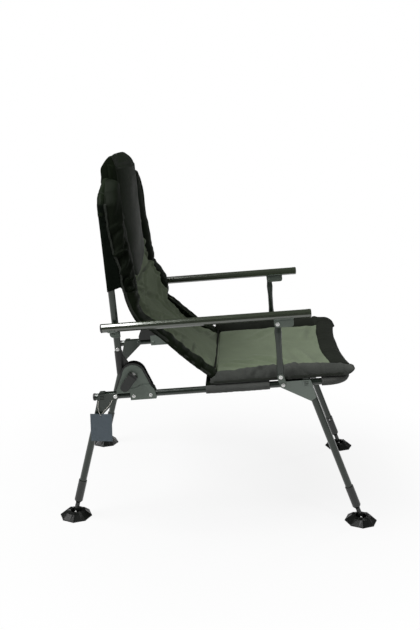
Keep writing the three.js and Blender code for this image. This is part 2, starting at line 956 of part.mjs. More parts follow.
for (const side of sides) {
  addMesh(seatGroup, "recliner_base_" + side.name, reclinerBase(side), bracketPaint);
  addMesh(seatGroup, "recliner_housing_" + side.name, reclinerHousing(side), blackPlastic);
  addMesh(seatGroup, "recliner_cover_" + side.name, reclinerCover(side), bracketPaint);
  addMesh(seatGroup, "recliner_bolt_" + side.name, reclinerBolt(side), brightSteel);
  addMesh(seatGroup, "cam_lever_" + side.name, camLever(side), blackPlastic);
}

// Post brackets: a foot plate on the rail, a shelf and two cheeks round the foot of the post

function postBracket(side) {
  const pivot = -frontPivotPlace;
  const { y: along, z: up } = postFootInSeat;
  const shape = capsule(pivot, 0, along, up, postBracketRadius, 4);
  const whole = plate(shape, outboard(side, postPlateInner), outboard(side, postCheekOuter));
  const reach = 3 * postBracketRadius;
  const spaces = [
    [postPlateOuter, postCheekOuter + cutOverrun, -reach, postBracketShelf],
    [postPlateInner - cutOverrun, postCheekInner, postBracketShelf + sheetThickness, up + reach],
    [postCheekInner + sheetThickness, postCheekOuter - sheetThickness, postBracketShelf + sheetThickness, up + reach],
  ].map(([near, far, low, high]) =>
    block(
      point(Math.min(outboard(side, near), outboard(side, far)), pivot - reach, low),
      point(Math.max(outboard(side, near), outboard(side, far)), pivot + reach, high),
    ),
  );
  const postRivet = rivet(along, up, outboard(side, postCheekInner), outboard(side, postCheekOuter), true, true);
  const legRivet = rivet(pivot, 0, outboard(side, -bracketOuter - seatGap), outboard(side, postPlateOuter), true, true);
  return join(cut(whole, ...spaces), postRivet, legRivet);
}

for (const side of sides) addMesh(seatGroup, "post_bracket_" + side.name, postBracket(side), bracketPaint);

// Legs. Each leg's bracket is a stamped U that hinges under the rail, with the leg tube welded in it.

function legFrame(end) {
  const group = new THREE.Group();
  group.position.set(0, end.sign * (end.pivot + end.offset), 0);
  group.rotation.x = end.sign * end.lean;
  seatGroup.add(group);
  group.updateWorldMatrix(true, false);
  return group;
}

for (const end of ends) {
  end.group = legFrame(end);
  const top = point(0, 0, 0).applyMatrix4(end.group.matrixWorld);
  const down = point(0, 0, -1).transformDirection(end.group.matrixWorld);
  end.length = (top.z - footPinHeight) / -down.z;
  end.pin = top.clone().addScaledVector(down, end.length);
  end.socketLow = -(end.length - socketAbovePin);
}

// Turns a geometry of a leg's frame into the frame of the seat.
function inSeat(geometry, end) {
  end.group.updateMatrix();
  return geometry.applyMatrix4(end.group.matrix);
}

function bracketOutline(end) {
  const lean = Math.tan(end.lean);
  const half = legTubeRadius / Math.cos(end.lean);
  const top = railRadius + bracketTopRise;
  const quarter = Math.PI / 2;
  const outerAt = (up) => end.offset + half - up * lean;
  const innerAt = (up) => end.offset - half - up * lean;
  const corner = [innerAt(-end.depth), -end.depth];
  const slope = Math.atan2(corner[1] + bracketEndRadius, corner[0]);
  const points = [
    ...arcPoints(0, 0, bracketEndRadius, 2 * quarter - quarter, 3 * quarter + slope, 6),
    corner,
    [outerAt(2 * legTubeRadius - end.depth), 2 * legTubeRadius - end.depth - half],
    [outerAt(0), 0],
    [outerAt(top), top],
  ];
  return { points: points.map(([along, up]) => [end.sign * (end.pivot + along), up]), corner, slope };
}

function legBracket(side, end) {
  const { points, corner, slope } = bracketOutline(end);
  const shape = outline(points);
  const cheeks = [-1, 1].map((face) =>
    plate(shape, outboard(side, face * bracketInner), outboard(side, face * bracketOuter)),
  );
  const start = [
    bracketEndRadius * Math.sin(-slope) + corner[0] * bracketWebStartShare,
    -bracketEndRadius * Math.cos(slope) + (corner[1] + bracketEndRadius) * bracketWebStartShare,
  ];
  const lift = [sheetThickness * Math.sin(-slope), sheetThickness * Math.cos(slope)];
  const webPoints = [
    start,
    corner,
    [corner[0] + lift[0], corner[1] + lift[1]],
    [start[0] + lift[0], start[1] + lift[1]],
  ].map(([along, up]) => [end.sign * (end.pivot + along), up]);
  const web = plate(outline(webPoints), outboard(side, -bracketInner - weldBite), outboard(side, bracketInner + weldBite));

  const dimpleMiddle = end.sign * (end.pivot + end.offset * latchPlaceShare);
  const raised = block(
    point(
      Math.min(outboard(side, bracketInner + weldBite), outboard(side, bracketOuter + dimpleRise)),
      dimpleMiddle - dimpleLength / 2,
      -dimpleHeight / 2,
    ),
    point(
      Math.max(outboard(side, bracketInner + weldBite), outboard(side, bracketOuter + dimpleRise)),
      dimpleMiddle + dimpleLength / 2,
      dimpleHeight / 2,
    ),
  );
  const slots = [-1, 0, 1].map((step) =>
    block(
      point(
        Math.min(outboard(side, bracketInner - cutOverrun), outboard(side, bracketOuter + dimpleRise + cutOverrun)),
        dimpleMiddle - dimpleLength / 2 + dimpleSlotPitch,
        step * dimpleSlotPitch - dimpleSlotWidth / 2,
      ),
      point(
        Math.max(outboard(side, bracketInner - cutOverrun), outboard(side, bracketOuter + dimpleRise + cutOverrun)),
        dimpleMiddle + dimpleLength / 2 - dimpleSlotPitch,
        step * dimpleSlotPitch + dimpleSlotWidth / 2,
      ),
    ),
  );

  const tubeEnd = end.socketLow + socketFloor + seatGap;
  const x = outboard(side, 0);
  const outerRod = inSeat(rod(legTubeRadius, point(x, 0, tubeEnd), point(x, 0, -legTubeDrop)), end);
  const boreRod = inSeat(
    rod(legTubeRadius - legTubeWall, point(x, 0, tubeEnd - cutOverrun), point(x, 0, -legTubeDrop + cutOverrun)),
    end,
  );
  const inwards = outboard(side, -legTubeRadius - cutOverrun);
  const buttonZ = end.socketLow + socketLength - buttonBelowSocketTop;
  const buttonHole = inSeat(
    rod(
      flatsAt(buttonRadius + buttonClearance, rivetSides),
      point(x, 0, buttonZ),
      point(inwards, 0, buttonZ),
      rivetSides,
    ),
    end,
  );
  const body = cut(join(...cheeks, web, raised, outerRod), boreRod, buttonHole, ...slots);
  const pivot = end.sign * end.pivot;
  if (end.sign < 0) {
    return cut(body, hole(pivot, 0, outboard(side, -2 * railRadius), outboard(side, 2 * railRadius)));
  }
  return join(body, rivet(pivot, 0, outboard(side, -bracketOuter), outboard(side, bracketOuter), true, true));
}

function innerTube(side, end) {
  const x = outboard(side, 0);
  const low = end.socketLow + socketFloor - socketStep;
  const tube = pipe(
    innerTubeRadius,
    innerTubeRadius - innerTubeWall,
    point(x, 0, low + seatGap),
    point(x, 0, low + innerTubeLength),
  );
  const inwards = outboard(side, -2 * innerTubeRadius);
  const holes = [];
  for (let i = 0; i < buttonHoleCount; i += 1) {
    const z = end.socketLow + socketLength - buttonBelowSocketTop + i * buttonHolePitch;
    const radius = flatsAt(buttonRadius + buttonClearance, rivetSides);
    holes.push(rod(radius, point(x, 0, z), point(inwards, 0, z), rivetSides));
  }
  return cut(tube, ...holes);
}

function legSocket(side, end) {
  const x = outboard(side, 0);
  const low = end.socketLow;
  const pinZ = -end.length;
  const body = revolve(
    [
      [0, 0],
      [neckRadius, 0],
      [socketRadius, socketTaper],
      [socketRadius, socketLength],
      [0, socketLength],
    ],
    point(x, 0, low),
    alongZ,
    tubeSides,
  );
  const neckPlate = plate(
    capsule(0, pinZ, 0, low + socketTaper / 2, neckRadius - neckPlateInset, 6),
    x - tongueThickness / 2,
    x + tongueThickness / 2,
  );
  const neck = rod(neckRadius, point(x, 0, pinZ + 2 * neckRadius), point(x, 0, low + weldBite));
  const tubeBore = rod(
    legTubeRadius + socketClearance,
    point(x, 0, low + socketFloor),
    point(x, 0, low + socketLength + cutOverrun),
  );
  const floorBore = rod(
    innerTubeRadius + socketClearance,
    point(x, 0, low + socketFloor - socketStep),
    point(x, 0, low + socketLength),
  );
  const half = buttonRadius + notchClearance;
  const notch = block(
    point(Math.min(outboard(side, -2 * socketRadius), x), -half, low + socketLength - notchDepth),
    point(Math.max(outboard(side, -2 * socketRadius), x), half, low + socketLength + cutOverrun),
  );
  const pinHole = hole(0, pinZ, x - 2 * neckRadius, x + 2 * neckRadius, footPinRadius + seatGap, rivetHeadSides);
  return cut(join(body, neck, neckPlate), tubeBore, floorBore, notch, pinHole);
}

function snapButton(side, end) {
  const z = end.socketLow + socketLength - buttonBelowSocketTop;
  const start = innerTubeRadius + buttonRootGap;
  const length = socketRadius + buttonStandProud - start;
  const profile = [
    [0, 0],
    [buttonRadius, 0],
    [buttonRadius, length - buttonEdge],
    [buttonRadius - buttonEdge, length],
    [0, length],
  ];
  return revolve(profile, point(outboard(side, -start), 0, z), point(-side.sign, 0, 0), rivetSides);
}

// A mud foot: a scalloped dome with a recess on top, two ears in it and the pin that the leg swivels on.
function mudFoot() {
  const steps = footLobes * footStepsPerLobe;
  const positions = [0, 0, 0];
  for (const [share, heightShare] of footRingShares) {
    for (let i = 0; i < steps; i += 1) {
      const angle = (2 * Math.PI * i) / steps;
      const wave = Math.cos(footLobes * angle);
      const radius = footRadius * share - footLobeDepth * share ** 3 * (1 - wave);
      const rib = footRibHeight * wave * Math.sin(Math.PI * share) * heightShare;
      positions.push(radius * Math.cos(angle), radius * Math.sin(angle), footHeight * heightShare + rib);
    }
  }
  positions.push(0, 0, footRecessFloor);
  const rings = footRingShares.length;
  const index = [];
  for (let i = 0; i < steps; i += 1) {
    const next = (i + 1) % steps;
    index.push(0, 1 + next, 1 + i);
    for (let j = 0; j < rings - 1; j += 1) {
      const a = 1 + j * steps + i;
      const b = 1 + j * steps + next;
      index.push(a, b, b + steps, a, b + steps, a + steps);
    }
    const top = 1 + (rings - 1) * steps;
    index.push(top + i, top + next, rings * steps + 1);
  }
  const dome = new THREE.BufferGeometry();
  dome.setAttribute("position", new THREE.BufferAttribute(new Float32Array(positions), 3));
  dome.setIndex(index);
  const earInner = tongueThickness / 2 + seatGap;
  const earOuter = earInner + footEarThickness;
  const earShape = outline([
    [-footEarHalfWidth, footRecessFloor - weldBite],
    [footEarHalfWidth, footRecessFloor - weldBite],
    ...arcPoints(0, footPinHeight, footEarRadius, 0, Math.PI, 6),
  ]);
  const ears = [-1, 1].map((face) => plate(earShape, face * earInner, face * earOuter));
  const pinEnd = earOuter + footPinStandProud;
  const pin = rod(footPinRadius, point(-pinEnd, 0, footPinHeight), point(pinEnd, 0, footPinHeight), rivetHeadSides);
  return join(dome, ...ears, pin);
}

for (const end of ends) {
  for (const side of sides) {
    const label = end.name + "_" + side.name;
    addMesh(seatGroup, "leg_" + label, legBracket(side, end), framePaint);
    addMesh(end.group, "inner_tube_" + label, innerTube(side, end), framePaint);
    addMesh(end.group, "leg_socket_" + label, legSocket(side, end), bracketPaint);
    addMesh(end.group, "snap_button_" + label, snapButton(side, end), brightSteel);
    const foot = addMesh(chair, "mud_foot_" + label, mudFoot(), footPlastic);
    foot.position.set(outboard(side, 0), end.pin.y, 0);
  }
}

// Back frame and the pieces that hinge it

// The head of the back frame: a shoulder bend, a slanted stretch and a shallow arc to the flat middle.
const backBendCentre = railHalfWidth - backBendRadius;
const backBendSweep = Math.PI / 2 - backBowSlope;
const backBendEnd = {
  across: backBendCentre + backBendRadius * Math.cos(backBendSweep),
  up: backShoulderHeight + backBendRadius * Math.sin(backBendSweep),
};
const backArcStart = backBowHalfFlat + backBowRadius * Math.sin(backBowSlope);
const backArcUp = backBendEnd.up + (backBendEnd.across - backArcStart) * Math.tan(backBowSlope);
const backTubeTop = backArcUp + backBowRadius * (1 - Math.cos(backBowSlope));

function backFramePath() {
  const q = backTubeBehindPivot;
  const half = (sign) => [
    point(sign * railHalfWidth, q, backTubeLowEnd),
    ...bendPoints(
      point(sign * backBendCentre, q, backShoulderHeight),
      backBendRadius,
      point(sign, 0, 0),
      alongZ,
      backBendSweep,
    ),
    ...[1, 1 / 2, 0].map((share) => {
      const angle = share * backBowSlope;
      const across = backBowHalfFlat + backBowRadius * Math.sin(angle);
      return point(sign * across, q, backTubeTop - backBowRadius * (1 - Math.cos(angle)));
    }),
  ];
  return [...half(-1), ...half(1).reverse()];
}

function backFrame() {
  const tube = bentTube(backFramePath(), backTubeRadius, backTubeRadius - backTubeWall);
  const holes = sides.map((side) =>
    hole(backTubeBehindPivot, sleeveRivetHeight, outboard(side, -2 * railRadius), outboard(side, 2 * railRadius)),
  );
  return cut(tube, ...holes);
}

addMesh(backGroup, "back_frame", backFrame(), framePaint);

// The rocking arm: a toothed hub on the bolt, a link and a sleeve round the foot of the back tube.
function reclinerArm(side) {
  const q = backTubeBehindPivot;
  const x = outboard(side, 0);
  const sleeveRadius = backTubeRadius + seatGap + sleeveWall;
  const toothPoints = [];
  for (let i = 0; i < 2 * hubTeeth; i += 1) {
    const angle = (Math.PI * i) / hubTeeth;
    const radius = hubRadius - (i % 2) * hubToothHeight;
    toothPoints.push([radius * Math.cos(angle), radius * Math.sin(angle)]);
  }
  const hub = plate(outline(toothPoints), outboard(side, -hubHalfWidth), outboard(side, hubHalfWidth));
  const linkShape = outline([
    [0, -hubRadius * 0.7],
    [q, sleeveLow],
    [q, sleeveHigh - linkRearDrop],
    [q - backTubeRadius, sleeveHigh - linkFrontDrop],
    [0, hubRadius * 0.7],
  ]);
  const link = plate(linkShape, outboard(side, -linkHalfThickness), outboard(side, linkHalfThickness));
  const sleeve = rod(sleeveRadius, point(x, q, sleeveLow - sleeveFootLength), point(x, q, sleeveHigh));
  const tongueInner = backTubeRadius + seatGap;
  const tongue = plate(
    capsule(q, sleeveHigh - tongueLap, q, sleeveRivetHeight, tongueRadius, 4),
    outboard(side, -tongueInner),
    outboard(side, -tongueInner - sleeveWall),
  );
  const bore = rod(backTubeRadius + seatGap, point(x, q, sleeveLow), point(x, q, 2 * sleeveRivetHeight));
  const openFoot = rod(
    backTubeRadius - backTubeWall,
    point(x, q, -hubRadius),
    point(x, q, sleeveLow + cutOverrun),
    rivetSides,
  );
  const body = cut(join(hub, link, sleeve, tongue), bore, openFoot, hole(
    0,
    0,
    outboard(side, -2 * hubHalfWidth),
    outboard(side, 2 * hubHalfWidth),
    boltRadius + boltClearance,
  ));
  const head = rivet(
    q,
    sleeveRivetHeight,
    outboard(side, -tongueInner - sleeveWall / 2),
    outboard(side, backTubeRadius + seatGap),
    false,
    true,
  );
  return join(body, head);
}

// A clamp round the back tube with the ear that the arm rest is hinged to.
function armLug(side) {
  const q = backTubeBehindPivot;
  const x = outboard(side, 0);
  const inner = backTubeRadius + seatGap;
  const outer = inner + sheetThickness;
  const half = armLugBand / 2;
  const band = rod(outer, point(x, q, armLugHeight - half), point(x, q, armLugHeight + half));
  const ear = plate(
    capsule(q, armLugHeight, q + armLugBehindTube, armLugHeight, armLugRadius, 6),
    outboard(side, inner),
    outboard(side, outer),
  );
  const bore = rod(inner, point(x, q, armLugHeight - armLugBand), point(x, q, armLugHeight + armLugBand));
  return cut(join(band, ear), bore);
}

for (const side of sides) {
  addMesh(backGroup, "recliner_arm_" + side.name, reclinerArm(side), blackPlastic);
  addMesh(backGroup, "arm_lug_" + side.name, armLug(side), bracketPaint);
}

// Arm rests

const lugInBack = point(0, backTubeBehindPivot + armLugBehindTube, armLugHeight);
const lugInArm = armGroup.worldToLocal(backGroup.localToWorld(lugInBack.clone()));
const rearTabPlace = lugInArm.y;

function armTube(side) {
  const x = outboard(side, armOutboard);
  return pipe(
    armRadius,
    armRadius - armWall,
    point(x, armFrontCap - armFrontReach, armDrop),
    point(x, armRearReach - armRearCap, armDrop),
  );
}

function armCap(side, start, heading, length) {
  const stub = armRadius - armWall - stubClearance;
  const rim = armRadius + armCapRim;
  const profile = [
    [0, -armCapStub],
    [stub, -armCapStub],
    [stub, seatGap],
    [rim, seatGap],
    [rim, length - armCapDome],
    [rim - armCapDome, length - armCapDome / 3],
    [rim - 3 * armCapDome, length],
    [0, length],
  ];
  return revolve(profile, point(outboard(side, armOutboard), start, armDrop), point(0, heading, 0), capSides);
}

// A curved saddle under the arm tube, between two places along it.
function armSaddle(side, fromY, toY, fromAngle, toAngle) {
  const x = outboard(side, armOutboard);
  const inner = armRadius + seatGap;
  const points = [
    ...arcPoints(x, armDrop, inner + sheetThickness, fromAngle, toAngle, 8),
    ...arcPoints(x, armDrop, inner, toAngle, fromAngle, 8),
  ];
  return bar(outline(points), fromY, toY);
}

function armBracketFront(side) {
  const down = -Math.PI / 2;
  const saddle = armSaddle(side, -frontTabFrontReach, frontTabRearReach, down - tabHalfArc, down + tabHalfArc);
  const top = armDrop - armRadius - seatGap - sheetThickness / 2;
  const round = tabDepth * 0.8;
  const quarter = Math.PI / 2;
  const shape = outline([
    [-frontTabFrontReach, top],
    ...arcPoints(-frontTabFrontReach + round, -tabDepth + round, round, 2 * quarter, 3 * quarter, 4),
    ...arcPoints(0, 0, tabDepth, -quarter, 0, 5),
    [tabDepth, top],
  ]);
  const inner = postEndHalfThickness + seatGap;
  const cheeks = [-1, 1].map((face) =>
    plate(
      shape,
      outboard(side, armOutboard + face * inner),
      outboard(side, armOutboard + face * (inner + sheetThickness)),
    ),
  );
  const pin = rivet(
    0,
    0,
    outboard(side, armOutboard - inner - sheetThickness),
    outboard(side, armOutboard + inner + sheetThickness),
    true,
    true,
  );
  return join(saddle, ...cheeks, pin);
}

function armBracketRear(side) {
  const down = -Math.PI / 2;
  const innerSide = side.sign > 0 ? -Math.PI : 0;
  const farSide = down + side.sign * tabHalfArc;
  const saddle = armSaddle(
    side,
    rearTabPlace - rearTabHalfLength,
    rearTabPlace + rearTabHalfLength,
    Math.min(innerSide, farSide),
    Math.max(innerSide, farSide),
  );
  const shape = outline([
    [rearTabPlace - rearTabHalfLength, armDrop],
    ...arcPoints(rearTabPlace, 0, tabDepth, Math.PI, 2 * Math.PI, 8),
    [rearTabPlace + rearTabHalfLength, armDrop],
  ]);
  const outerFace = armOutboard - armRadius - seatGap;
  const innerFace = outerFace - sheetThickness;
  const cheek = plate(shape, outboard(side, innerFace), outboard(side, outerFace));
  const stub = rivet(rearTabPlace, 0, outboard(side, innerFace - stubTail), outboard(side, outerFace), false, true);
  return join(saddle, cheek, stub);
}

for (const side of sides) {
  addMesh(armGroup, "arm_tube_" + side.name, armTube(side), armPaint);
  const frontSeam = armFrontCap - armFrontReach;
  const rearSeam = armRearReach - armRearCap;
  addMesh(armGroup, "arm_cap_front_" + side.name, armCap(side, frontSeam, -1, armFrontCap), armPaint);
  addMesh(armGroup, "arm_cap_rear_" + side.name, armCap(side, rearSeam, 1, armRearCap), blackPlastic);
  addMesh(armGroup, "arm_bracket_front_" + side.name, armBracketFront(side), bracketPaint);
  addMesh(armGroup, "arm_bracket_rear_" + side.name, armBracketRear(side), bracketPaint);
}

// A post: a tube whose ends are pressed flat round their rivets.
function armPost(side) {
  const x = outboard(side, armOutboard);
  const flat = postEndHalfThickness;
  const stations = [
    ...postEndShares.map(([heightShare, widthShare]) => [
      heightShare * postEndRadius,
      widthShare * postEndRadius,
      flat,
    ]),
    [postFlatLength, postEndRadius * postFlatWidthShare, flat],
    [postShoulderLength, postShoulderHalfWidth, flat * postShoulderDepthShare],
    [postNeckLength, postMidRadius, postMidRadius * postNeckDepthShare],
  ];
  const upper = stations.map(([height, width, depth]) => [postLength - height, width, depth]).reverse();
  const all = [...stations, ...upper];
  const surface = (share, row) => {
    const [height, width, depth] = all[row];
    const angle = 2 * Math.PI * share;
    return [x + depth * Math.cos(angle), width * Math.sin(angle), height];
  };
  const positions = [];
  const index = [];
  for (let row = 0; row < all.length; row += 1) {
    for (let i = 0; i < postSides; i += 1) positions.push(...surface(i / postSides, row));
  }
  for (let row = 0; row < all.length - 1; row += 1) {
    for (let i = 0; i < postSides; i += 1) {
      const next = (i + 1) % postSides;
      const a = row * postSides + i;
      const b = row * postSides + next;
      index.push(a, b, b + postSides, a, b + postSides, a + postSides);
    }
  }
  const low = positions.length / 3;
  positions.push(x, 0, all[0][0], x, 0, all[all.length - 1][0]);
  const lastRow = (all.length - 1) * postSides;
  for (let i = 0; i < postSides; i += 1) {
    const next = (i + 1) % postSides;
    index.push(low, next, i, low + 1, lastRow + i, lastRow + next);
  }
  const body = new THREE.BufferGeometry();
  body.setAttribute("position", new THREE.BufferAttribute(new Float32Array(positions), 3));
  body.setIndex(index);
  const reach = 4 * flat;
  return cut(body, hole(0, 0, x - reach, x + reach), hole(0, postLength, x - reach, x + reach));
}

for (const side of sides) addMesh(postGroup, "arm_post_" + side.name, armPost(side), framePaint);

// Upholstery

const bump = (share) => Math.sin(Math.PI * Math.min(Math.max(share, 0), 1));

// A place across a pad and its height there, from a table that runs from the middle to one edge.
function acrossAt(table, u) {
  const reach = table.length - 1;
  const place = Math.round(2 * reach * u) - reach;
  const [across, height] = table[Math.abs(place)];
  return [Math.sign(place) * across, height];
}

// Seat sling: a sheet over the rails with a sleeve round each rail and one round the front bend.
function seatSling() {
  const low = railRadius + slingRise;
  const high = low + slingThickness;
  const wide = railHalfWidth + railRadius / 2;
  const narrow = railHalfWidth - slingNarrowing;
  const sheet = outline([
    [-wide, railSleeveRear],
    [-wide, -railSleeveFront],
    [-narrow, -railSleeveFront - slingNarrowing / 2],
    [-narrow, -railFrontEnd],
    [narrow, -railFrontEnd],
    [narrow, -railSleeveFront - slingNarrowing / 2],
    [wide, -railSleeveFront],
    [wide, railSleeveRear],
  ]);
  const panel = new THREE.ExtrudeGeometry(sheet, { depth: high - low, bevelEnabled: false });
  panel.translate(0, 0, low);
  const outer = railRadius + softGap + sleeveCloth;
  const inner = flatsAt(railRadius + softGap, tubeSides);
  const railSleeve = (side, past, radius) =>
    rod(
      radius,
      point(outboard(side, 0), -railSleeveFront - past, 0),
      point(outboard(side, 0), railSleeveRear + past, 0),
    );
  const frontSleeve = (past, radius) => {
    const bend = frontBend();
    const start = point(-railHalfWidth, past - frontSleeveRear, 0);
    const end = point(railHalfWidth, past - frontSleeveRear, 0);
    return bentTube([start, ...bend, end], radius, 0);
  };
  const crossTube = rod(
    flatsAt(crossTubeRadius + softGap, tubeSides),
    point(-railHalfWidth, crossTubePlace, 0),
    point(railHalfWidth, crossTubePlace, 0),
  );
  const sleeves = sides.map((side) => railSleeve(side, 0, outer));
  const bores = sides.map((side) => railSleeve(side, cutOverrun, inner));
  return cut(join(panel, ...sleeves, frontSleeve(0, outer)), ...bores, frontSleeve(cutOverrun, inner), crossTube);
}

const padBase = railRadius + slingRise + slingThickness + softGap;

// Seat pad: a cushion with a rolled border on each side, a hollowed middle and a roll across the front.
function seatPad() {
  const halfWidth = railHalfWidth + seatPadOverhang;
  const rows = seatPadAlongShares.length - 1;
  const rowAt = (v) => seatPadAlongShares[Math.round(v * rows)];
  const place = (u, v) => {
    const [across] = acrossAt(seatPadAcrossShares, u);
    const [alongShare] = rowAt(v);
    const front = seatPadFront - seatPadFrontDip * (1 - across ** 2);
    const drawn = 1 - seatPadWaistShare * bump(alongShare);
    return [across * halfWidth * drawn, seatPadRear - (front + seatPadRear) * alongShare];
  };
  const top = (u, v) => {
    const [, lift] = acrossAt(seatPadAcrossShares, u);
    const [, height, fill] = rowAt(v);
    return [...place(u, v), padBase + seatPadBorder * height * (lift + (1 - lift) * fill)];
  };
  const bottom = (u, v) => [...place(u, v), padBase];
  return loft(2 * (seatPadAcrossShares.length - 1), rows, top, bottom);
}

addMesh(seatGroup, "seat_sling", seatSling(), blackCloth);
addMesh(seatGroup, "seat_pad", seatPad(), greenCloth);

// Lower back pad: hangs from the back and runs forward to the seat, with a thick rolled border on each side.
function lowerBackPad() {
  const path = new THREE.CatmullRomCurve3(
    lowerPadPathShares.map(([forward, down]) =>
      point(
        0,
        lowerPadTopY + (lowerPadFootY - lowerPadTopY) * forward,
        lowerPadTopZ + (lowerPadFootZ - lowerPadTopZ) * down,
      ),
    ),
  );
  const halfWidth = railHalfWidth - lowerPadInset;
  const depthAt = (v) => lowerPadFootDepth + (lowerPadHeadDepth - lowerPadFootDepth) * (1 - v) ** lowerPadTaper;
  const seamAt = (v) => lowerPadQuilt * Math.abs(Math.sin(Math.PI * lowerPadQuilts * v));
  const surface = (offsetAt) => (u, v) => {
    const [across, lift] = acrossAt(lowerPadAcrossShares, u);
    const under = path.getPoint(v);
    const heading = path.getTangent(v);
    const offset = offsetAt(lift, v);
    return [across * halfWidth, under.y + heading.z * offset, under.z - heading.y * offset];
  };
  const face = surface((lift, v) => depthAt(v) * lift + seamAt(v));
  const rear = surface(() => 0);
  const reach = 2 * railHalfWidth;
  const underBackPad = block(
    point(-reach, -reach, backPadLow - softGap),
    point(reach, reach, backPadHigh),
  ).applyMatrix4(backGroup.matrixWorld);
  const behindSeatPad = block(
    point(-reach, -reach, -reach),
    point(reach, seatPadRear + softGap, reach),
  ).applyMatrix4(seatGroup.matrixWorld);
  return cut(loft(2 * (lowerPadAcrossShares.length - 1), lowerPadRows, face, rear), underBackPad, behindSeatPad);
}

addMesh(chair, "lower_back_pad", lowerBackPad(), greenCloth);

// Back pad: thicker at the loins, with a padded wing down each side and a crowned pillow down the middle.
function backPad() {
  const rearQ = backTubeBehindPivot - backTubeRadius - softGap;
  const high = backPadHigh - softGap;
  const halfWidthAt = (height) => {
    const over = Math.max(0, height - backPadShoulder) / backPadShoulderReach;
    return railHalfWidth + backPadOverhang - backPadShoulderDraw * over ** 2;
  };
  const place = (u, v) => {
    const [across] = acrossAt(backPadAcrossShares, u);
    const height = backPadLow + (high - backPadLow) * v;
    return [across * halfWidthAt(height), height];
  };
  const pillowAt = (x, v) => {
    const crown = Math.sqrt(Math.max(0, 1 - (x / backPillowHalfWidth) ** 2));
    return crown && rearQ + backPillowCrest * crown * (v ? 1 : backPillowFootShare);
  };
  const front = (u, v) => {
    const [, lift] = acrossAt(backPadAcrossShares, u);
    const [x, height] = place(u, v);
    const depth = backPadFootDepth + (backPadHeadDepth - backPadFootDepth) * v ** backPadTaper;
    return [x, rearQ - Math.max(depth * lift, pillowAt(x, v)), height];
  };
  const rear = (u, v) => {
    const [x, height] = place(u, v);
    return [x, rearQ, height];
  };
  return loft(2 * (backPadAcrossShares.length - 1), backPadRows, front, rear);
}

// Hood over the head of the frame: arched across, open below for the tube.
function headHood() {
  const tubeQ = backTubeBehindPivot;
  const middle = (hoodRear - hoodFront) / 2;
  const profile = outline([
    [hoodRear, hoodRearLow],
    [hoodRear, hoodShoulder - hoodBevel],
    [hoodRear - hoodBevel, hoodShoulder],
    [middle, hoodTop],
    [hoodBevel - hoodFront, hoodShoulder + hoodBevel],
    [-hoodFront, hoodShoulder - hoodBevel],
    [-hoodFront, backPadHigh],
    [tubeQ, backPadHigh],
    [tubeQ, hoodRearLow],
  ]);
  const halfWidth = railHalfWidth - hoodInset;
  const form = reshaped(plate(profile, -1, 1, hoodSteps), (share, q, t) => {
    const across = Math.sin((Math.PI / 2) * share);
    const draw = 1 - hoodEndDrawShare * share ** 6;
    const rise = Math.max(0, t - backPadHigh) / (hoodTop - backPadHigh);
    const forward = Math.max(0, middle - q) / (middle + hoodFront);
    const drawn = middle + (q - middle) * draw + hoodFrontDraw * forward * across ** 2;
    return [halfWidth * across, drawn, t - hoodArch * rise * across ** 2];
  });
  const reach = halfWidth + cutOverrun;
  const channelHalf = backTubeRadius + softGap;
  const channel = block(
    point(-reach, tubeQ - channelHalf, hoodRearLow - cutOverrun),
    point(reach, tubeQ + channelHalf, backTubeTop + channelHalf),
  );
  return cut(form, channel);
}

// Back sling: a sheet behind the frame whose sides wrap forward round the tubes.
function backSling() {
  const rear = backTubeBehindPivot + backTubeRadius + softGap;
  const out = railHalfWidth + backTubeRadius + backSlingSideGap;
  const outer = out + backSlingCloth;
  const back = rear + backSlingCloth + backSlingSlack;
  const round = backTubeRadius;
  const quarter = Math.PI / 2;
  const shape = outline([
    [outer, 0],
    ...arcPoints(outer - round, back - round, round, 0, quarter, 4),
    ...arcPoints(-outer + round, back - round, round, quarter, 2 * quarter, 4),
    [-outer, 0],
    [-out, 0],
    ...arcPoints(-out + round, rear - round, round, 2 * quarter, quarter, 4),
    ...arcPoints(out - round, rear - round, round, quarter, 0, 4),
    [out, 0],
  ]);
  const body = new THREE.ExtrudeGeometry(shape, { depth: backSlingHigh - backSlingLow, bevelEnabled: false });
  body.translate(0, 0, backSlingLow);
  const slanted = reshaped(body, (x, q, t) => {
    const share = (t - backSlingLow) / (backSlingHigh - backSlingLow);
    return [x, q || backSlingFrontLow + (backSlingFrontHigh - backSlingFrontLow) * share, t];
  });
  const hem = outline([
    [backSlingFrontLow - cutOverrun, backSlingLow - cutOverrun],
    [back + cutOverrun, backSlingLow - cutOverrun],
    [backSlingFrontLow - cutOverrun, backSlingLow + backSlingHemRise],
  ]);
  return cut(slanted, plate(hem, -outer - cutOverrun, outer + cutOverrun));
}

addMesh(backGroup, "back_sling", backSling(), blackCloth);
addMesh(backGroup, "back_pad", backPad(), blackCloth);
addMesh(backGroup, "head_hood", headHood(), blackCloth);

// Swing tag: a bare card on a thin string from the right rear leg's bracket

const tagSide = sides[0];
const tagX = outboard(tagSide, tagOutboard);
const eyelet = point(tagX, tagCentreY, tagTopZ - tagEyeletDrop);

function swingTag() {
  const halfWidth = tagWidth / 2;
  const shape = outline([
    [tagCentreY - halfWidth, tagTopZ - tagHeight],
    [tagCentreY + halfWidth, tagTopZ - tagHeight],
    [tagCentreY + halfWidth, tagTopZ],
    [tagCentreY - halfWidth, tagTopZ],
  ]);
  const card = plate(shape, tagX - tagThickness / 2, tagX + tagThickness / 2);
  return cut(card, hole(eyelet.y, eyelet.z, tagX - cutOverrun, tagX + cutOverrun, tagEyeletRadius));
}

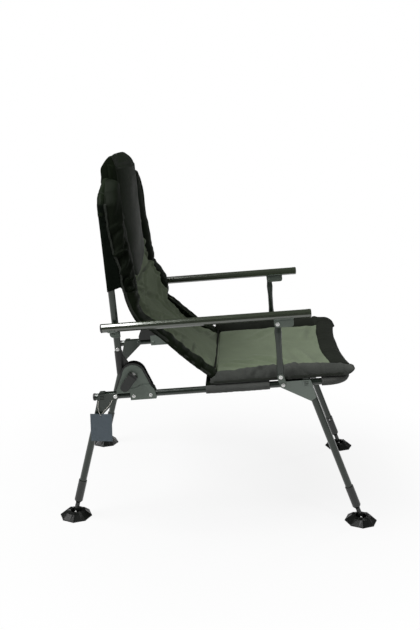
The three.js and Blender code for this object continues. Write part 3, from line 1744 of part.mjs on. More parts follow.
// The string's route: from the bracket's outer face, down through the eyelet and back up to the rail's rivet.
const stringRoute = [
  [13.4, 350, 379],
  [16.5, 350.5, 374],
  [20, 350.5, 364],
  [23, 349, 354],
  [24.2, 345.5, 344],
  [23.8, 342.6, 338.2],
  [22, 341.8, 336.8],
  [20.2, 341.2, 338.4],
  [20.2, 337, 345],
  [19.4, 328, 355.5],
  [18, 318, 367],
  [16, 311.5, 377],
  [13.4, 309, 383],
];

function tagStringCord() {
  const knots = stringRoute.map(([out, y, z]) => point(outboard(tagSide, out), y, z));
  const points = new THREE.CatmullRomCurve3(knots).getSpacedPoints(stringSteps);
  const onBracket = (knot) => point(outboard(tagSide, bracketOuter), knot.y, knot.z);
  points.unshift(onBracket(points[0]));
  points.push(onBracket(points[points.length - 1]));
  return bentTube(points, stringRadius, 0, stpostSides);
}

addMesh(chair, "swing_tag", swingTag(), tagCard);
addMesh(chair, "tag_string", tagStringCord(), tagString);

export default chair;
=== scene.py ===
"""Looks of a folding angler's chair: cushions, cloth, paint and plastic round its frame, in metres."""

import json
import math
import random

import bmesh
import bpy
import numpy as np
from mathutils import Matrix, Vector, noise
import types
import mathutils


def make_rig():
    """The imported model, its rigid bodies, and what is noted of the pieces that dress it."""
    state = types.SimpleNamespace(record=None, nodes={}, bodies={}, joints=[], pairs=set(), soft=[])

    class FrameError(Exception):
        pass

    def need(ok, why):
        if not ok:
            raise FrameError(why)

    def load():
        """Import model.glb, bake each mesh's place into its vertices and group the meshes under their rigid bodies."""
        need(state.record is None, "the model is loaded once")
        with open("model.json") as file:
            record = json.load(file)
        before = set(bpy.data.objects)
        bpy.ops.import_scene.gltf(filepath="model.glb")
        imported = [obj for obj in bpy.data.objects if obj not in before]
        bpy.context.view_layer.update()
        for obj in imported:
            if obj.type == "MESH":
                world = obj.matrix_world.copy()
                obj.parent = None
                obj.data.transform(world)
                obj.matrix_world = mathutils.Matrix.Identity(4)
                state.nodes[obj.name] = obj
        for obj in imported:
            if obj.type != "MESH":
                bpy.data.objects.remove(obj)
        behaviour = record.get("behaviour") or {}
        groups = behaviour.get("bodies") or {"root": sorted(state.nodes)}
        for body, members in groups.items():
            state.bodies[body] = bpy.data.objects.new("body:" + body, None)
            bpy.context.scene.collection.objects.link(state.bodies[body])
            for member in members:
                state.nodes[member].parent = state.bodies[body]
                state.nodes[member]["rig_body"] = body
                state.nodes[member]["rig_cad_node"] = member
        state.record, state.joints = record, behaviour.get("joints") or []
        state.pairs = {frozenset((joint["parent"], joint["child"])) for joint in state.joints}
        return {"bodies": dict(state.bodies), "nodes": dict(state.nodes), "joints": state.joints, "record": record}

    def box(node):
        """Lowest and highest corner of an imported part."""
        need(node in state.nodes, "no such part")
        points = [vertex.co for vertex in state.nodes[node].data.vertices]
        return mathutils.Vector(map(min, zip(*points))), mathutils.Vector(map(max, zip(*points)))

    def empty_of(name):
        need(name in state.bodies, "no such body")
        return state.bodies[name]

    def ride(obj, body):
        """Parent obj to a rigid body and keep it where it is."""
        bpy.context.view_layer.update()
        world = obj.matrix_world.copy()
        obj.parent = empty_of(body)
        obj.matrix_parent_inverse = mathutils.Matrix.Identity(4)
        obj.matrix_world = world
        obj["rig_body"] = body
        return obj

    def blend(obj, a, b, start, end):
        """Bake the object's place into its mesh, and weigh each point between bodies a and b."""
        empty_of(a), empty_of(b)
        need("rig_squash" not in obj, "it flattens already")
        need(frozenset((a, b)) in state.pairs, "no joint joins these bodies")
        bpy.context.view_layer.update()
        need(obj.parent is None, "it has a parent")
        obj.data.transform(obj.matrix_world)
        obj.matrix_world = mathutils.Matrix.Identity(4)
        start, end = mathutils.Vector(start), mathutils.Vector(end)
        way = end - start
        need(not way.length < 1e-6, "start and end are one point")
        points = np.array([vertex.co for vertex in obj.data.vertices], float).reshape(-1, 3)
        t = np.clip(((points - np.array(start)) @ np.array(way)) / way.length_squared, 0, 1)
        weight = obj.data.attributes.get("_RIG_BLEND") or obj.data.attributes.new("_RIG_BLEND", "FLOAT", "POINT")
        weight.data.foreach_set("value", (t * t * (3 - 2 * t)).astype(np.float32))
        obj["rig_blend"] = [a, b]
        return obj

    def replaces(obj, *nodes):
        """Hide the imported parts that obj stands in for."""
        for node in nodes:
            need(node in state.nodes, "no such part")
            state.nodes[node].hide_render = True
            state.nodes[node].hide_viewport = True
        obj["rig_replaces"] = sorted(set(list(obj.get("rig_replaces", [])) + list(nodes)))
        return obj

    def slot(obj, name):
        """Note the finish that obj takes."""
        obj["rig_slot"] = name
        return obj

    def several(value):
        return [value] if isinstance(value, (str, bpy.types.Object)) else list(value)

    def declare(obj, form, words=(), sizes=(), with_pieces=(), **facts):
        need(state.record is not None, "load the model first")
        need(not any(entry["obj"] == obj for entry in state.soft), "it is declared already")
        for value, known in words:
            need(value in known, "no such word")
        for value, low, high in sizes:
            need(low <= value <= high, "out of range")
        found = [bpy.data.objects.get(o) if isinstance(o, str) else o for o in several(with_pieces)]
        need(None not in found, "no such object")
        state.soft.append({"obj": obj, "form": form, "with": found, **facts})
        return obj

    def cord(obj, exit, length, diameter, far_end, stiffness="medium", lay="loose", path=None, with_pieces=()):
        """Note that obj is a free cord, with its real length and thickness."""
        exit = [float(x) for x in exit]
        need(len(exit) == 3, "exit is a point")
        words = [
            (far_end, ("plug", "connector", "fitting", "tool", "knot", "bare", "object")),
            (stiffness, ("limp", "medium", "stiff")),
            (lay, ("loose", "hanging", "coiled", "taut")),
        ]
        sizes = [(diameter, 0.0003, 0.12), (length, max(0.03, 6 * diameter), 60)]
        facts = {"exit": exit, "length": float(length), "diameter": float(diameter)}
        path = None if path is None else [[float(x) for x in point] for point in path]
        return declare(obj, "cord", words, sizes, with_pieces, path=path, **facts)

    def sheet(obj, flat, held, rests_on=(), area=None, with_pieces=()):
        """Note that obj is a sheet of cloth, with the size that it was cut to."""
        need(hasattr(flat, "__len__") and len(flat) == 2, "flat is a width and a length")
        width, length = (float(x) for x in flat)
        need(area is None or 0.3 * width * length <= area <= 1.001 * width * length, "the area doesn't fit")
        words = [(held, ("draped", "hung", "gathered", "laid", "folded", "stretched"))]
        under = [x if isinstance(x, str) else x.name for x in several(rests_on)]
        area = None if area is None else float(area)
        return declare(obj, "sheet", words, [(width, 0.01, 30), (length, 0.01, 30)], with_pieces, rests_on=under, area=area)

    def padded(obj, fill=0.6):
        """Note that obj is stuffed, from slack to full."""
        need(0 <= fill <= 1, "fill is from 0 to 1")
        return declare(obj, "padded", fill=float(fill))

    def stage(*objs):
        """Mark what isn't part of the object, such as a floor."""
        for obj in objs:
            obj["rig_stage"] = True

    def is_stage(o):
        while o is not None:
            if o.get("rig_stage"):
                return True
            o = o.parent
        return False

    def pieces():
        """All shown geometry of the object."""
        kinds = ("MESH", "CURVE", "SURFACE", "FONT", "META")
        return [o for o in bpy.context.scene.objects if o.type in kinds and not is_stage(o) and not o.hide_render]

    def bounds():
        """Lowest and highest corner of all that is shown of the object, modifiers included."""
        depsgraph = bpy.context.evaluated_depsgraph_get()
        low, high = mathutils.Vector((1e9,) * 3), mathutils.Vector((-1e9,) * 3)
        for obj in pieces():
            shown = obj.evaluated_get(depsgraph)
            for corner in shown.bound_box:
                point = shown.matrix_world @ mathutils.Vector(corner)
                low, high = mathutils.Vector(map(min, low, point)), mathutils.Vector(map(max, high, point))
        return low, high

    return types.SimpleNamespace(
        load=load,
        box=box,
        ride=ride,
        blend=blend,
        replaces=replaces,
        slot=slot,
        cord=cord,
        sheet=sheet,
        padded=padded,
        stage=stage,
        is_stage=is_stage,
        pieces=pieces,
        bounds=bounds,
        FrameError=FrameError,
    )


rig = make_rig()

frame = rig.load()
cad_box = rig.bounds()
nodes = frame["nodes"]

# The two leaning frames that the cushions are placed in
SEAT_HEIGHT = 0.419
SEAT_SLOPE = math.radians(5.1)
PIVOT_Y = 0.246
PIVOT_Z = 0.460
BACK_TILT = math.radians(5)
RAIL_HALF_WIDTH = (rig.box("rail_cap_left")[0].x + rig.box("rail_cap_left")[1].x) / 2
SIDES = ((-1, "right"), (1, "left"))

# Camera, at the photograph's viewing angle
IMAGE_HEIGHT = 630
FOCAL_PIXELS = 799
SENSOR = 36
CAMERA_PLACE = (-2.493, -0.051, 1.209)
CAMERA_YAW = math.radians(1.91)
CAMERA_PITCH = math.radians(14.4)
CAMERA_ROLL = math.radians(0.16)

# Looks of each material; colours are linear light
CLOTHS = [
    # name, colour, roughness, sheen, mottle, gloss
    ("green_cloth", (0.120, 0.147, 0.096), 0.9, 0.1, 0.1, 0.05),
    ("black_cloth", (0.0070, 0.0105, 0.0054), 0.5, 0.0, 0.2, 0.035),
    # the black cloth painted a little darker, as painted shade on the wings
    ("wing_cloth", (0.0060, 0.0085, 0.0048), 0.6, 0.0, 0.2, 0.04),
    # the black cloth painted lighter, as painted light from above on the front band and far seat border
    ("band_cloth", (0.014, 0.016, 0.0125), 0.7, 0.0, 0.15, 0.05),
    # the black cloth painted much lighter, as painted light on the near seat border
    ("border_cloth", (0.062, 0.066, 0.060), 0.7, 0.0, 0.15, 0.05),
    # the black sling cloth painted much lighter, as painted light on the sleeves round the seat tubes
    ("sleeve_cloth", (0.088, 0.092, 0.086), 0.7, 0.05, 0.12, 0.05),
    # the black cloth painted darker, as painted shade on the back sling
    ("sling_cloth", (0.0040, 0.0060, 0.0040), 0.8, 0.0, 0.15, 0.02),
    # the black cloth painted lighter, a painted highlight along the rolled cushion edges that the tapes follow
    ("binding_cloth", (0.030, 0.034, 0.028), 0.6, 0.05, 0.15, 0.05),
    ("piping", (0.010, 0.011, 0.009), 0.7, 0.0, 0.1, 0.05),
]
PAINTS = [
    # name, colour, roughness, coat, metallic, the coat's index of refraction
    ("frame_paint", (0.013, 0.022, 0.0145), 0.30, 0.4, 0.2, 1.5),
    ("arm_paint", (0.030, 0.040, 0.022), 0.22, 1.0, 0.3, 1.8),
    # a much lighter copy of the frame paint, a painted highlight on the flat leg faces that catch more light
    ("plate_paint", (0.120, 0.150, 0.125), 0.35, 0.3, 0.25, 1.8),
    ("socket_paint", (0.010, 0.0125, 0.0105), 0.4, 0.2, 0.25, 1.8),
    ("bracket_paint", (0.115, 0.140, 0.118), 0.45, 0.0, 0.25, 1.8),
]
PLASTICS = [
    # name, colour, roughness, depth of the grain, gloss
    ("black_plastic", (0.0065, 0.0075, 0.0065), 0.45, 0.12, 0.5),
    ("foot_plastic", (0.006, 0.0068, 0.006), 0.36, 0.02, 0.22),
]
STEELS = [("bright_steel", (0.92, 0.92, 0.90))]
CARDS = [("tag_card", (0.070, 0.095, 0.115)), ("tag_string", (0.62, 0.60, 0.54))]


def seat_point(x, along, up):
    """A point given along and above the seat rails."""
    y = along * math.cos(SEAT_SLOPE) + up * math.sin(SEAT_SLOPE)
    z = SEAT_HEIGHT - along * math.sin(SEAT_SLOPE) + up * math.cos(SEAT_SLOPE)
    return Vector((x, y, z))


def back_point(x, behind, height):
    """A point given behind and above the recline pivot, in the leaning frame of the back."""
    y = PIVOT_Y + behind * math.cos(BACK_TILT) + height * math.sin(BACK_TILT)
    z = PIVOT_Z - behind * math.sin(BACK_TILT) + height * math.cos(BACK_TILT)
    return Vector((x, y, z))


# Materials

def set_inputs(node, values):
    for key, value in values.items():
        node.inputs[key].default_value = value


def texture(tree, kind, scale, **inputs):
    node = tree.nodes.new("ShaderNodeTex" + kind)
    set_inputs(node, {"Scale": scale, **inputs})
    places = tree.nodes.get("Places") or tree.nodes.new("ShaderNodeTexCoord")
    places.name = "Places"
    tree.links.new(places.outputs["Object"], node.inputs["Vector"])
    return node


def ramp(tree, source, low, high, dark, light):
    node = tree.nodes.new("ShaderNodeMapRange")
    set_inputs(node, {"From Min": low, "From Max": high, "To Min": dark, "To Max": light})
    tree.links.new(source, node.inputs["Value"])
    return node.outputs["Result"]


NOISE_LOW = 0.3
NOISE_HIGH = 0.7


def shaded(tree, grain, dark, light):
    """The range that a noise mostly keeps to, spread from dark to light."""
    return ramp(tree, grain.outputs["Fac"], NOISE_LOW, NOISE_HIGH, dark, light)


def tinted(tree, colour, factor):
    """The colour multiplied by a factor that varies over the surface."""
    node = tree.nodes.new("ShaderNodeMix")
    node.data_type = "RGBA"
    node.blend_type = "MULTIPLY"
    set_inputs(node, {"Factor": 1, "A": (*colour, 1)})
    tree.links.new(factor, node.inputs["B"])
    return node.outputs["Result"]


def combined(tree, operation, a, b):
    node = tree.nodes.new("ShaderNodeMath")
    node.operation = operation
    tree.links.new(a, node.inputs[0])
    tree.links.new(b, node.inputs[1])
    return node.outputs["Value"]


def bump(tree, shader, height, strength, distance):
    node = tree.nodes.new("ShaderNodeBump")
    set_inputs(node, {"Strength": strength, "Distance": distance})
    tree.links.new(height, node.inputs["Height"])
    tree.links.new(node.outputs["Normal"], shader.inputs["Normal"])


def surface(tree, shader, colour, shade, patches, roughness, change):
    """The colour times the shade, and a roughness that changes from patch to patch."""
    tree.links.new(tinted(tree, colour, shade), shader.inputs["Base Color"])
    rough = shaded(tree, patches, roughness - change, roughness + change)
    tree.links.new(rough, shader.inputs["Roughness"])


WEAVE_SCALE = 420


def cloth(tree, shader, colour, roughness, sheen, mottle, gloss):
    warp = texture(tree, "Wave", WEAVE_SCALE)
    warp.bands_direction = "X"
    weft = texture(tree, "Wave", WEAVE_SCALE)
    weft.bands_direction = "Z"
    threads = combined(tree, "MAXIMUM", warp.outputs["Fac"], weft.outputs["Fac"])
    patches = texture(tree, "Noise", scale=14, Detail=5.0, Roughness=0.6)
    fuzz = texture(tree, "Noise", scale=700, Detail=2.0)
    mottled = shaded(tree, patches, 1 - mottle, 1 + mottle)
    shade = combined(tree, "MULTIPLY", mottled, shaded(tree, fuzz, dark=0.9, light=1.1))
    surface(tree, shader, colour, shade, patches, roughness, change=0.05)
    set_inputs(shader, {"Sheen Weight": sheen, "Sheen Roughness": 0.5, "Specular IOR Level": gloss})
    bump(tree, shader, threads, strength=0.25, distance=0.0004)


def paint(tree, shader, colour, roughness, coat, metallic, coat_index):
    specks = texture(tree, "Noise", scale=900, Detail=3.0)
    patches = texture(tree, "Noise", scale=9, Detail=4.0)
    speckled = shaded(tree, specks, dark=0.92, light=1.08)
    shade = combined(tree, "MULTIPLY", speckled, shaded(tree, patches, dark=0.95, light=1.05))
    surface(tree, shader, colour, shade, patches, roughness, change=0.04)
    set_inputs(shader, {"Metallic": metallic})
    set_inputs(shader, {"Coat Weight": coat, "Coat Roughness": 0.10, "Coat IOR": coat_index})
    bump(tree, shader, specks.outputs["Fac"], strength=0.08, distance=0.0002)


def plastic(tree, shader, colour, roughness, grain_depth, gloss):
    set_inputs(shader, {"Specular IOR Level": gloss})
    grain = texture(tree, "Noise", scale=1100, Detail=2.0)
    patches = texture(tree, "Noise", scale=22, Detail=3.0)
    shade = shaded(tree, patches, dark=0.85, light=1.2)
    surface(tree, shader, colour, shade, patches, roughness, change=0.06)
    bump(tree, shader, grain.outputs["Fac"], grain_depth, distance=0.0002)


def steel(tree, shader, colour):
    brushed = texture(tree, "Noise", scale=500, Detail=4.0)
    shade = shaded(tree, brushed, dark=0.9, light=1.05)
    tree.links.new(tinted(tree, colour, shade), shader.inputs["Base Color"])
    set_inputs(shader, {"Metallic": 0.4, "Roughness": 0.3})


def card(tree, shader, colour):
    fibre = texture(tree, "Noise", scale=300, Detail=5.0)
    shade = shaded(tree, fibre, dark=0.93, light=1.06)
    tree.links.new(tinted(tree, colour, shade), shader.inputs["Base Color"])
    set_inputs(shader, {"Roughness": 0.42})
    bump(tree, shader, fibre.outputs["Fac"], strength=0.06, distance=0.0002)


materials = {}
for look, rows in ((cloth, CLOTHS), (paint, PAINTS), (plastic, PLASTICS), (steel, STEELS), (card, CARDS)):
    for name, *values in rows:
        material = bpy.data.materials.new(name.replace("_", " "))
        material.use_nodes = True
        look(material.node_tree, material.node_tree.nodes["Principled BSDF"], *values)
        materials[name] = material

SMOOTH_ANGLE = math.radians(36)
PLATE_OUT = 0.2912
PLATE_FACING = 0.9
FOOT_EDGE = 0.004


def paint_lit_plates(name):
    """The flat outer face at the top of a front leg, in a lighter copy of the frame paint: a painted highlight, since
    that face catches more light.
    """
    mesh = nodes[name].data
    mesh.materials.append(materials["plate_paint"])
    for face in mesh.polygons:
        place = nodes[name].matrix_world @ face.center
        if abs(place.x) > PLATE_OUT and abs(face.normal.x) > PLATE_FACING:
            face.material_index = 1


def finish_node(name, slot):
    """A CAD node in its own shape, smooth over its round faces and in its slot's material."""
    mesh = nodes[name].data
    mesh.polygons.foreach_set("use_smooth", [True] * len(mesh.polygons))
    mesh.set_sharp_from_angle(angle=SMOOTH_ANGLE)
    mesh.materials.clear()
    mesh.materials.append(materials[slot])


def soften(name, width):
    """Rounds the edges of a moulded node."""
    rounding = nodes[name].modifiers.new("rounded edges", "BEVEL")
    rounding.width = width
    rounding.segments = 3
    rounding.limit_method = "ANGLE"
    rounding.angle_limit = math.radians(20)
    rounding.harden_normals = False


for entry in frame["record"]["subparts"]:
    node = entry["node"]
    finish_node(node, "socket_paint" if node.startswith("leg_socket") else entry["material_slot"])
    if node.startswith("leg_front"):
        paint_lit_plates(node)
    if node.startswith("mud_foot"):
        soften(node, FOOT_EDGE)


# Mesh forms

def add_object(name, data):
    piece = bpy.data.objects.new(name, data)
    bpy.context.scene.collection.objects.link(piece)
    return piece


def mesh_object(name, vertices, faces, slot, material=None, replaced=()):
    """A closed mesh with its faces turned outwards, in place of the CAD nodes that it replaces."""
    mesh = bpy.data.meshes.new(name)
    mesh.from_pydata([tuple(v) for v in vertices], [], faces)
    mesh.validate()
    mesh.polygons.foreach_set("use_smooth", [True] * len(mesh.polygons))
    mesh.materials.append(materials[material or slot])
    work = bmesh.new()
    work.from_mesh(mesh)
    bmesh.ops.recalc_face_normals(work, faces=work.faces)
    work.to_mesh(mesh)
    work.free()
    piece = add_object(name, mesh)
    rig.slot(piece, slot)
    if replaced:
        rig.replaces(piece, *replaced)
    return piece


def ring_faces(stations, sides):
    """The four-sided faces that join one ring of points to the next."""
    faces = []
    for j in range(stations):
        for i in range(sides):
            k = (i + 1) % sides
            faces.append((j * sides + i, j * sides + k, (j + 1) * sides + k, (j + 1) * sides + i))
    return faces


def swept(name, place, stations, sides, slot="black_cloth", material=None, replaced=()):
    """A closed form through rings of points from place(v, turn), v from 0 to 1 and turn once round."""
    vertices = []
    for j in range(stations + 1):
        for i in range(sides):
            vertices.append(place(j / stations, 2 * math.pi * i / sides))
    faces = ring_faces(stations, sides)
    for first in (0, stations * sides):
        ring = vertices[first:first + sides]
        vertices.append(sum(ring, Vector()) / sides)
        for i in range(sides):
            faces.append((len(vertices) - 1, first + i, first + (i + 1) % sides))
    return mesh_object(name, vertices, faces, slot, material, replaced)


# Shares of a pad: its ring of points in the upper face, and its length without folds at each end
TOP_SHARE = 0.75
FOLD_FREE_SHARE = 0.03


def gathered(piece, stations, sides, relief, outer):
    """Raises a pad's upper face by relief(s, r): s round from its crest, r along it, all in metres."""
    vertices = piece.data.vertices
    normals = [vertex.normal.copy() for vertex in vertices]
    places = [vertex.co.copy() for vertex in vertices]
    crest = round(TOP_SHARE * sides / 2)
    r = 0.0
    for j in range(stations + 1):
        first = j * sides
        ends = rounded_ends(j / stations, FOLD_FREE_SHARE)
        if j:
            r += (places[first + crest] - places[first - sides + crest]).length
        for step in (1, -1):
            s = 0.0
            for k in range(0 if step == 1 else 1, crest + 1):
                i = first + crest + step * k
                if k:
                    s += (places[i] - places[i - step]).length
                vertices[i].co += normals[i] * (relief(step * outer * s, r) * ends)
    piece.data.update()


def rounded_ends(v, share, power=2.0):
    """1 along the middle, falling in a round curve to 0 at both ends, each over a share of the length."""
    reach = min(v, 1 - v) / share
    return 1.0 if reach >= 1 else (1 - (1 - reach) ** power) ** (1 / power)


def spread_power(value, power):
    return math.copysign(abs(value) ** power, value)


def eased(value):
    """Goes from 0 to 1 with the value, with a gentle start and end."""
    share = min(max(value, 0), 1)
    return share * share * (3 - 2 * share)


def between(table, v):
    """The value at v of a table of (v, value) rows, eased between them."""
    for (a, low), (b, high) in zip(table, table[1:]):
        if v <= b:
            share = eased((v - a) / (b - a) if b > a else 0)
            return low + (high - low) * share
    return table[-1][1]


def fold_height(folds, s, r):
    """The height of the folds at a place (s, r) in metres; a fold is a line with its depth and width."""
    total = 0.0
    for s0, r0, s1, r1, depth, width in folds:
        ds, dr = s1 - s0, r1 - r0
        length = math.hypot(ds, dr)
        along = ((s - s0) * ds + (r - r0) * dr) / (length * length)
        if 0 < along < 1:
            off = ((s - s0) * dr - (r - r0) * ds) / length / width
            fade = math.sin(math.pi * along) ** 0.6
            total += depth * fade * (math.exp(-off * off) - 0.55 * math.exp(-(off - 1.7) ** 2))
    return total


def wander(x, y, z, size, amount):
    """A slow, seeded unevenness."""
    return amount * noise.noise(Vector((x / size, y / size, z / size)))


def constant(value):
    return lambda v: value


def creased(folds, seed, size, amount):
    """Relief of folds and a slow unevenness."""
    return lambda s, r: fold_height(folds, s, r) + wander(s, r, seed, size, amount)


def pad(name, path, half_width, front, rear, stations, sides, edge, end_share, slot="black_cloth",
        replaced=(), centre=constant(0), material=None, relief=None, outer=1):
    """A cushion on a path; front(u, v) and rear(u, v) give its heights over the path, u across."""

    def place(v, turn):
        here = path(v)
        ahead = heading(path, v, 0.004)
        normal = Vector((0, ahead.z, -ahead.y))
        if normal.z < normal.y:
            normal.negate()
        share = turn / (2 * math.pi)
        upper = share <= TOP_SHARE
        share = share / TOP_SHARE if upper else (1 - share) / (1 - TOP_SHARE)
        u = math.sin(math.pi * (share - 0.5))
        dome = (1 - min(abs(u), 1) ** (2 / edge)) ** (edge / 2) * rounded_ends(v, end_share)
        base = max(0, -rear(u, v))
        height = front(u, v) - base if upper else min(0, -rear(u, v))
        x = centre(v) + u * half_width(v)
        return Vector((x, here.y, here.z)) + normal * (base + height * dome)

    piece = swept(name, place, stations, sides, slot, material, replaced)
    if relief:
        gathered(piece, stations, sides, relief, outer)
    return piece


FLAT_BACK = 0.0006


def flat_back(u, v):
    """The back of a pad that lies flat on what holds it."""
    return FLAT_BACK


def straight(start, end):
    return lambda v: start.lerp(end, v)


def heading(path, v, step):
    """The direction in which a path runs at v."""
    return (path(min(v + step, 1)) - path(max(v - step, 0))).normalized()


def spline(p0, p1, p2, p3, share):
    """A place on the smooth curve from p1 to p2, with their neighbours p0 and p3."""
    return 0.5 * (
        2 * p1
        + (p2 - p0) * share
        + (2 * p0 - 5 * p1 + 4 * p2 - p3) * share ** 2
        + (3 * p1 - p0 - 3 * p2 + p3) * share ** 3
    )


def curve(points):
    """A smooth path through points, by the length between them."""
    lengths = [0.0]
    for a, b in zip(points, points[1:]):
        lengths.append(lengths[-1] + (b - a).length)
    total = lengths[-1]

    def at(v):
        place = v * total
        index = max(i for i in range(len(points) - 1) if lengths[i] <= place + 1e-9)
        share = (place - lengths[index]) / (lengths[index + 1] - lengths[index])
        before = points[max(index - 1, 0)]
        after = points[min(index + 2, len(points) - 1)]
        return spline(before, points[index], points[index + 1], after, share)

    return at


# Camera, floor and light

def make_camera():
    data = bpy.data.cameras.new("camera")
    data.sensor_width = SENSOR
    data.lens = FOCAL_PIXELS * SENSOR / IMAGE_HEIGHT
    data.clip_end = 100
    camera = add_object("camera", data)
    turned = Matrix.Rotation(CAMERA_YAW - math.pi / 2, 4, "Z")
    tilted = Matrix.Rotation(math.pi / 2 - CAMERA_PITCH, 4, "X") @ Matrix.Rotation(CAMERA_ROLL, 4, "Z")
    camera.matrix_world = Matrix.Translation(CAMERA_PLACE) @ turned @ tilted
    bpy.context.scene.camera = camera


FLOOR_SIZE = 30
FLOOR_WHITE = 0.6
SHADOW_NEAR = 0.30
SHADOW_FAR = 1.0
SHADOW_SHARE = 0.14
WORLD_STRENGTH = 0.11
LAMP_AIM = Vector((0, 0, 0.5))
LAMPS = [
    # place, size, power
    ((-0.5, 1.5, 3.0), 1.7, 120),
    ((1.9, -1.9, 2.3), 0.6, 18),
    ((-2.2, -2.1, 2.5), 0.9, 24),
    ((-2.2, 2.4, 1.2), 1.0, 4),
]


def seen_directly(tree, in_gloss):
    """1 for rays that show the surface, or its reflection if in_gloss; 0 for rays that light the object."""
    path = tree.nodes.new("ShaderNodeLightPath")
    shown = combined(tree, "MAXIMUM", path.outputs["Is Camera Ray"], path.outputs["Is Transmission Ray"])
    return combined(tree, "MAXIMUM", shown, path.outputs["Is Glossy Ray"]) if in_gloss else shown


def make_floor():
    material = bpy.data.materials.new("floor")
    material.use_nodes = True
    tree = material.node_tree
    tree.nodes.clear()
    lit = tree.nodes.new("ShaderNodeBsdfDiffuse")
    set_inputs(lit, {"Color": (FLOOR_WHITE, FLOOR_WHITE, FLOOR_WHITE, 1)})
    white = tree.nodes.new("ShaderNodeEmission")
    places = tree.nodes.new("ShaderNodeTexCoord")
    distance = tree.nodes.new("ShaderNodeVectorMath")
    distance.operation = "LENGTH"
    tree.links.new(places.outputs["Object"], distance.inputs[0])
    fade = ramp(tree, distance.outputs["Value"], SHADOW_NEAR, SHADOW_FAR, 1 - SHADOW_SHARE, 1)
    shown = combined(tree, "MULTIPLY", fade, seen_directly(tree, True))
    mix = tree.nodes.new("ShaderNodeMixShader")
    tree.links.new(shown, mix.inputs["Fac"])
    tree.links.new(lit.outputs["BSDF"], mix.inputs[1])
    tree.links.new(white.outputs["Emission"], mix.inputs[2])
    output = tree.nodes.new("ShaderNodeOutputMaterial")
    tree.links.new(mix.outputs["Shader"], output.inputs["Surface"])
    half = FLOOR_SIZE / 2
    corners = [(-half, -half, 0), (half, -half, 0), (half, half, 0), (-half, half, 0)]
    mesh = bpy.data.meshes.new("floor")
    mesh.from_pydata(corners, [], [(0, 1, 2, 3)])
    mesh.materials.append(material)
    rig.stage(add_object("floor", mesh))


def make_light():
    world = bpy.data.worlds.new("world")
    bpy.context.scene.world = world
    world.use_nodes = True
    tree = world.node_tree
    background = tree.nodes["Background"]
    set_inputs(background, {"Color": (1, 1, 1, 1)})
    strength = ramp(tree, seen_directly(tree, False), 0, 1, WORLD_STRENGTH, 1)
    tree.links.new(strength, background.inputs["Strength"])
    for index, (place, size, power) in enumerate(LAMPS):
        data = bpy.data.lights.new(f"lamp_{index}", "AREA")
        data.shape = "DISK"
        data.size = size
        data.energy = power
        lamp = add_object(f"lamp_{index}", data)
        lamp.location = place
        lamp.rotation_euler = (LAMP_AIM - Vector(place)).to_track_quat("-Z", "Y").to_euler()


make_camera()
make_floor()
make_light()
bpy.context.scene.view_settings.view_transform = "Standard"

# Seat cushion: a green panel between two rolled borders, with a band across the front

SEAT_CREASE = 0.006
SEAT_PANEL_FRONT = -0.352
SEAT_FRONT = -0.402
SEAT_PANEL_HALF = 0.234
SEAT_PANEL_RISE = [(0, 0.002), (0.1, 0.003), (0.5, 0.003), (0.86, -0.002), (1, 0.004)]
SEAT_FOLDS = [
    # across and along the panel at both ends, height, half width
    (-0.240, 0.270, -0.080, 0.110, 0.0115, 0.014),
    (-0.240, 0.225, -0.120, 0.050, 0.0100, 0.013),
    (-0.240, 0.205, -0.150, 0.010, 0.0085, 0.012),
    (-0.235, 0.300, -0.020, 0.255, 0.0060, 0.013),
    (0.240, 0.310, 0.050, 0.275, 0.0060, 0.013),
    (0.240, 0.200, 0.100, 0.100, 0.0060, 0.014),
    (-0.030, 0.330, 0.160, 0.320, 0.0035, 0.009),
]
SEAT_BASE = 0.0155
BORDER_CENTRE = 0.254
BORDER_HALF = 0.034
BORDER_HEIGHT = 0.031
BORDER_END_LIFT = 0.013
# Where the arm's post presses into the border
POST_PRESS = (0.202, 0.222)
BORDER_PROFILE = [
    # along the border, share of its height
    (0, 0.70), (0.1, 0.84), (0.3, 1.0), (0.45, 1.18), (0.505, 1.04),
    (0.56, 1.20), (0.75, 0.98), (0.9, 0.82), (1, 0.74),
]
BAND_PLACE = -0.369
BAND_DIP = 0.018
BAND_HALF = 0.030
BAND_RISE = 0.0265
BAND_LIP = 0.013
PIPING_RADIUS = 0.0028


def scattered_folds(seed, count, width, length, depth, breadth, lean=0.03):
    """Small folds that run across a strip, at seeded places."""
    draw = random.Random(seed)
    folds = []
    for _ in range(count):
        r = draw.uniform(0.01, length - 0.01)
        depth_here = draw.uniform(0.35, 1) * depth
        end = r + draw.uniform(-lean, lean)
        folds.append((-width, r, width, end, depth_here, draw.uniform(0.7, 1.3) * breadth))
    return folds


def edge_folds(draw, half_width, start, gap, shift, inner, fall, depth, breadth):
    """Folds that run inwards from both sides of a panel; the pairs are the limits of what is drawn."""
    folds = []
    for side in (-1, 1):
        for index in range(11):
            r = start + gap * index + draw.uniform(-shift, shift)
            folds.append((side * half_width, r, side * draw.uniform(*inner), r + draw.uniform(*fall),
                          draw.uniform(*depth), draw.uniform(*breadth)))
    return folds


def make_seat_panel():
    start = seat_point(0, SEAT_CREASE, SEAT_BASE)
    end = seat_point(0, SEAT_PANEL_FRONT - 0.012, SEAT_BASE)
    length = (end - start).length

    def front(u, v):
        x, r = u * SEAT_PANEL_HALF, v * length
        hollow = 0.0115 + 0.011 * abs(u) ** 2.4
        along = between(SEAT_PANEL_RISE, v)
        return hollow + along + wander(x, r, 0, 0.09, 0.0024) + fold_height(SEAT_FOLDS, x, r)

    return pad("seat_panel", straight(start, end), constant(SEAT_PANEL_HALF), front, flat_back, stations=110,
               sides=220, edge=0.45, end_share=0.03, slot="green_cloth", replaced=("seat_pad",))


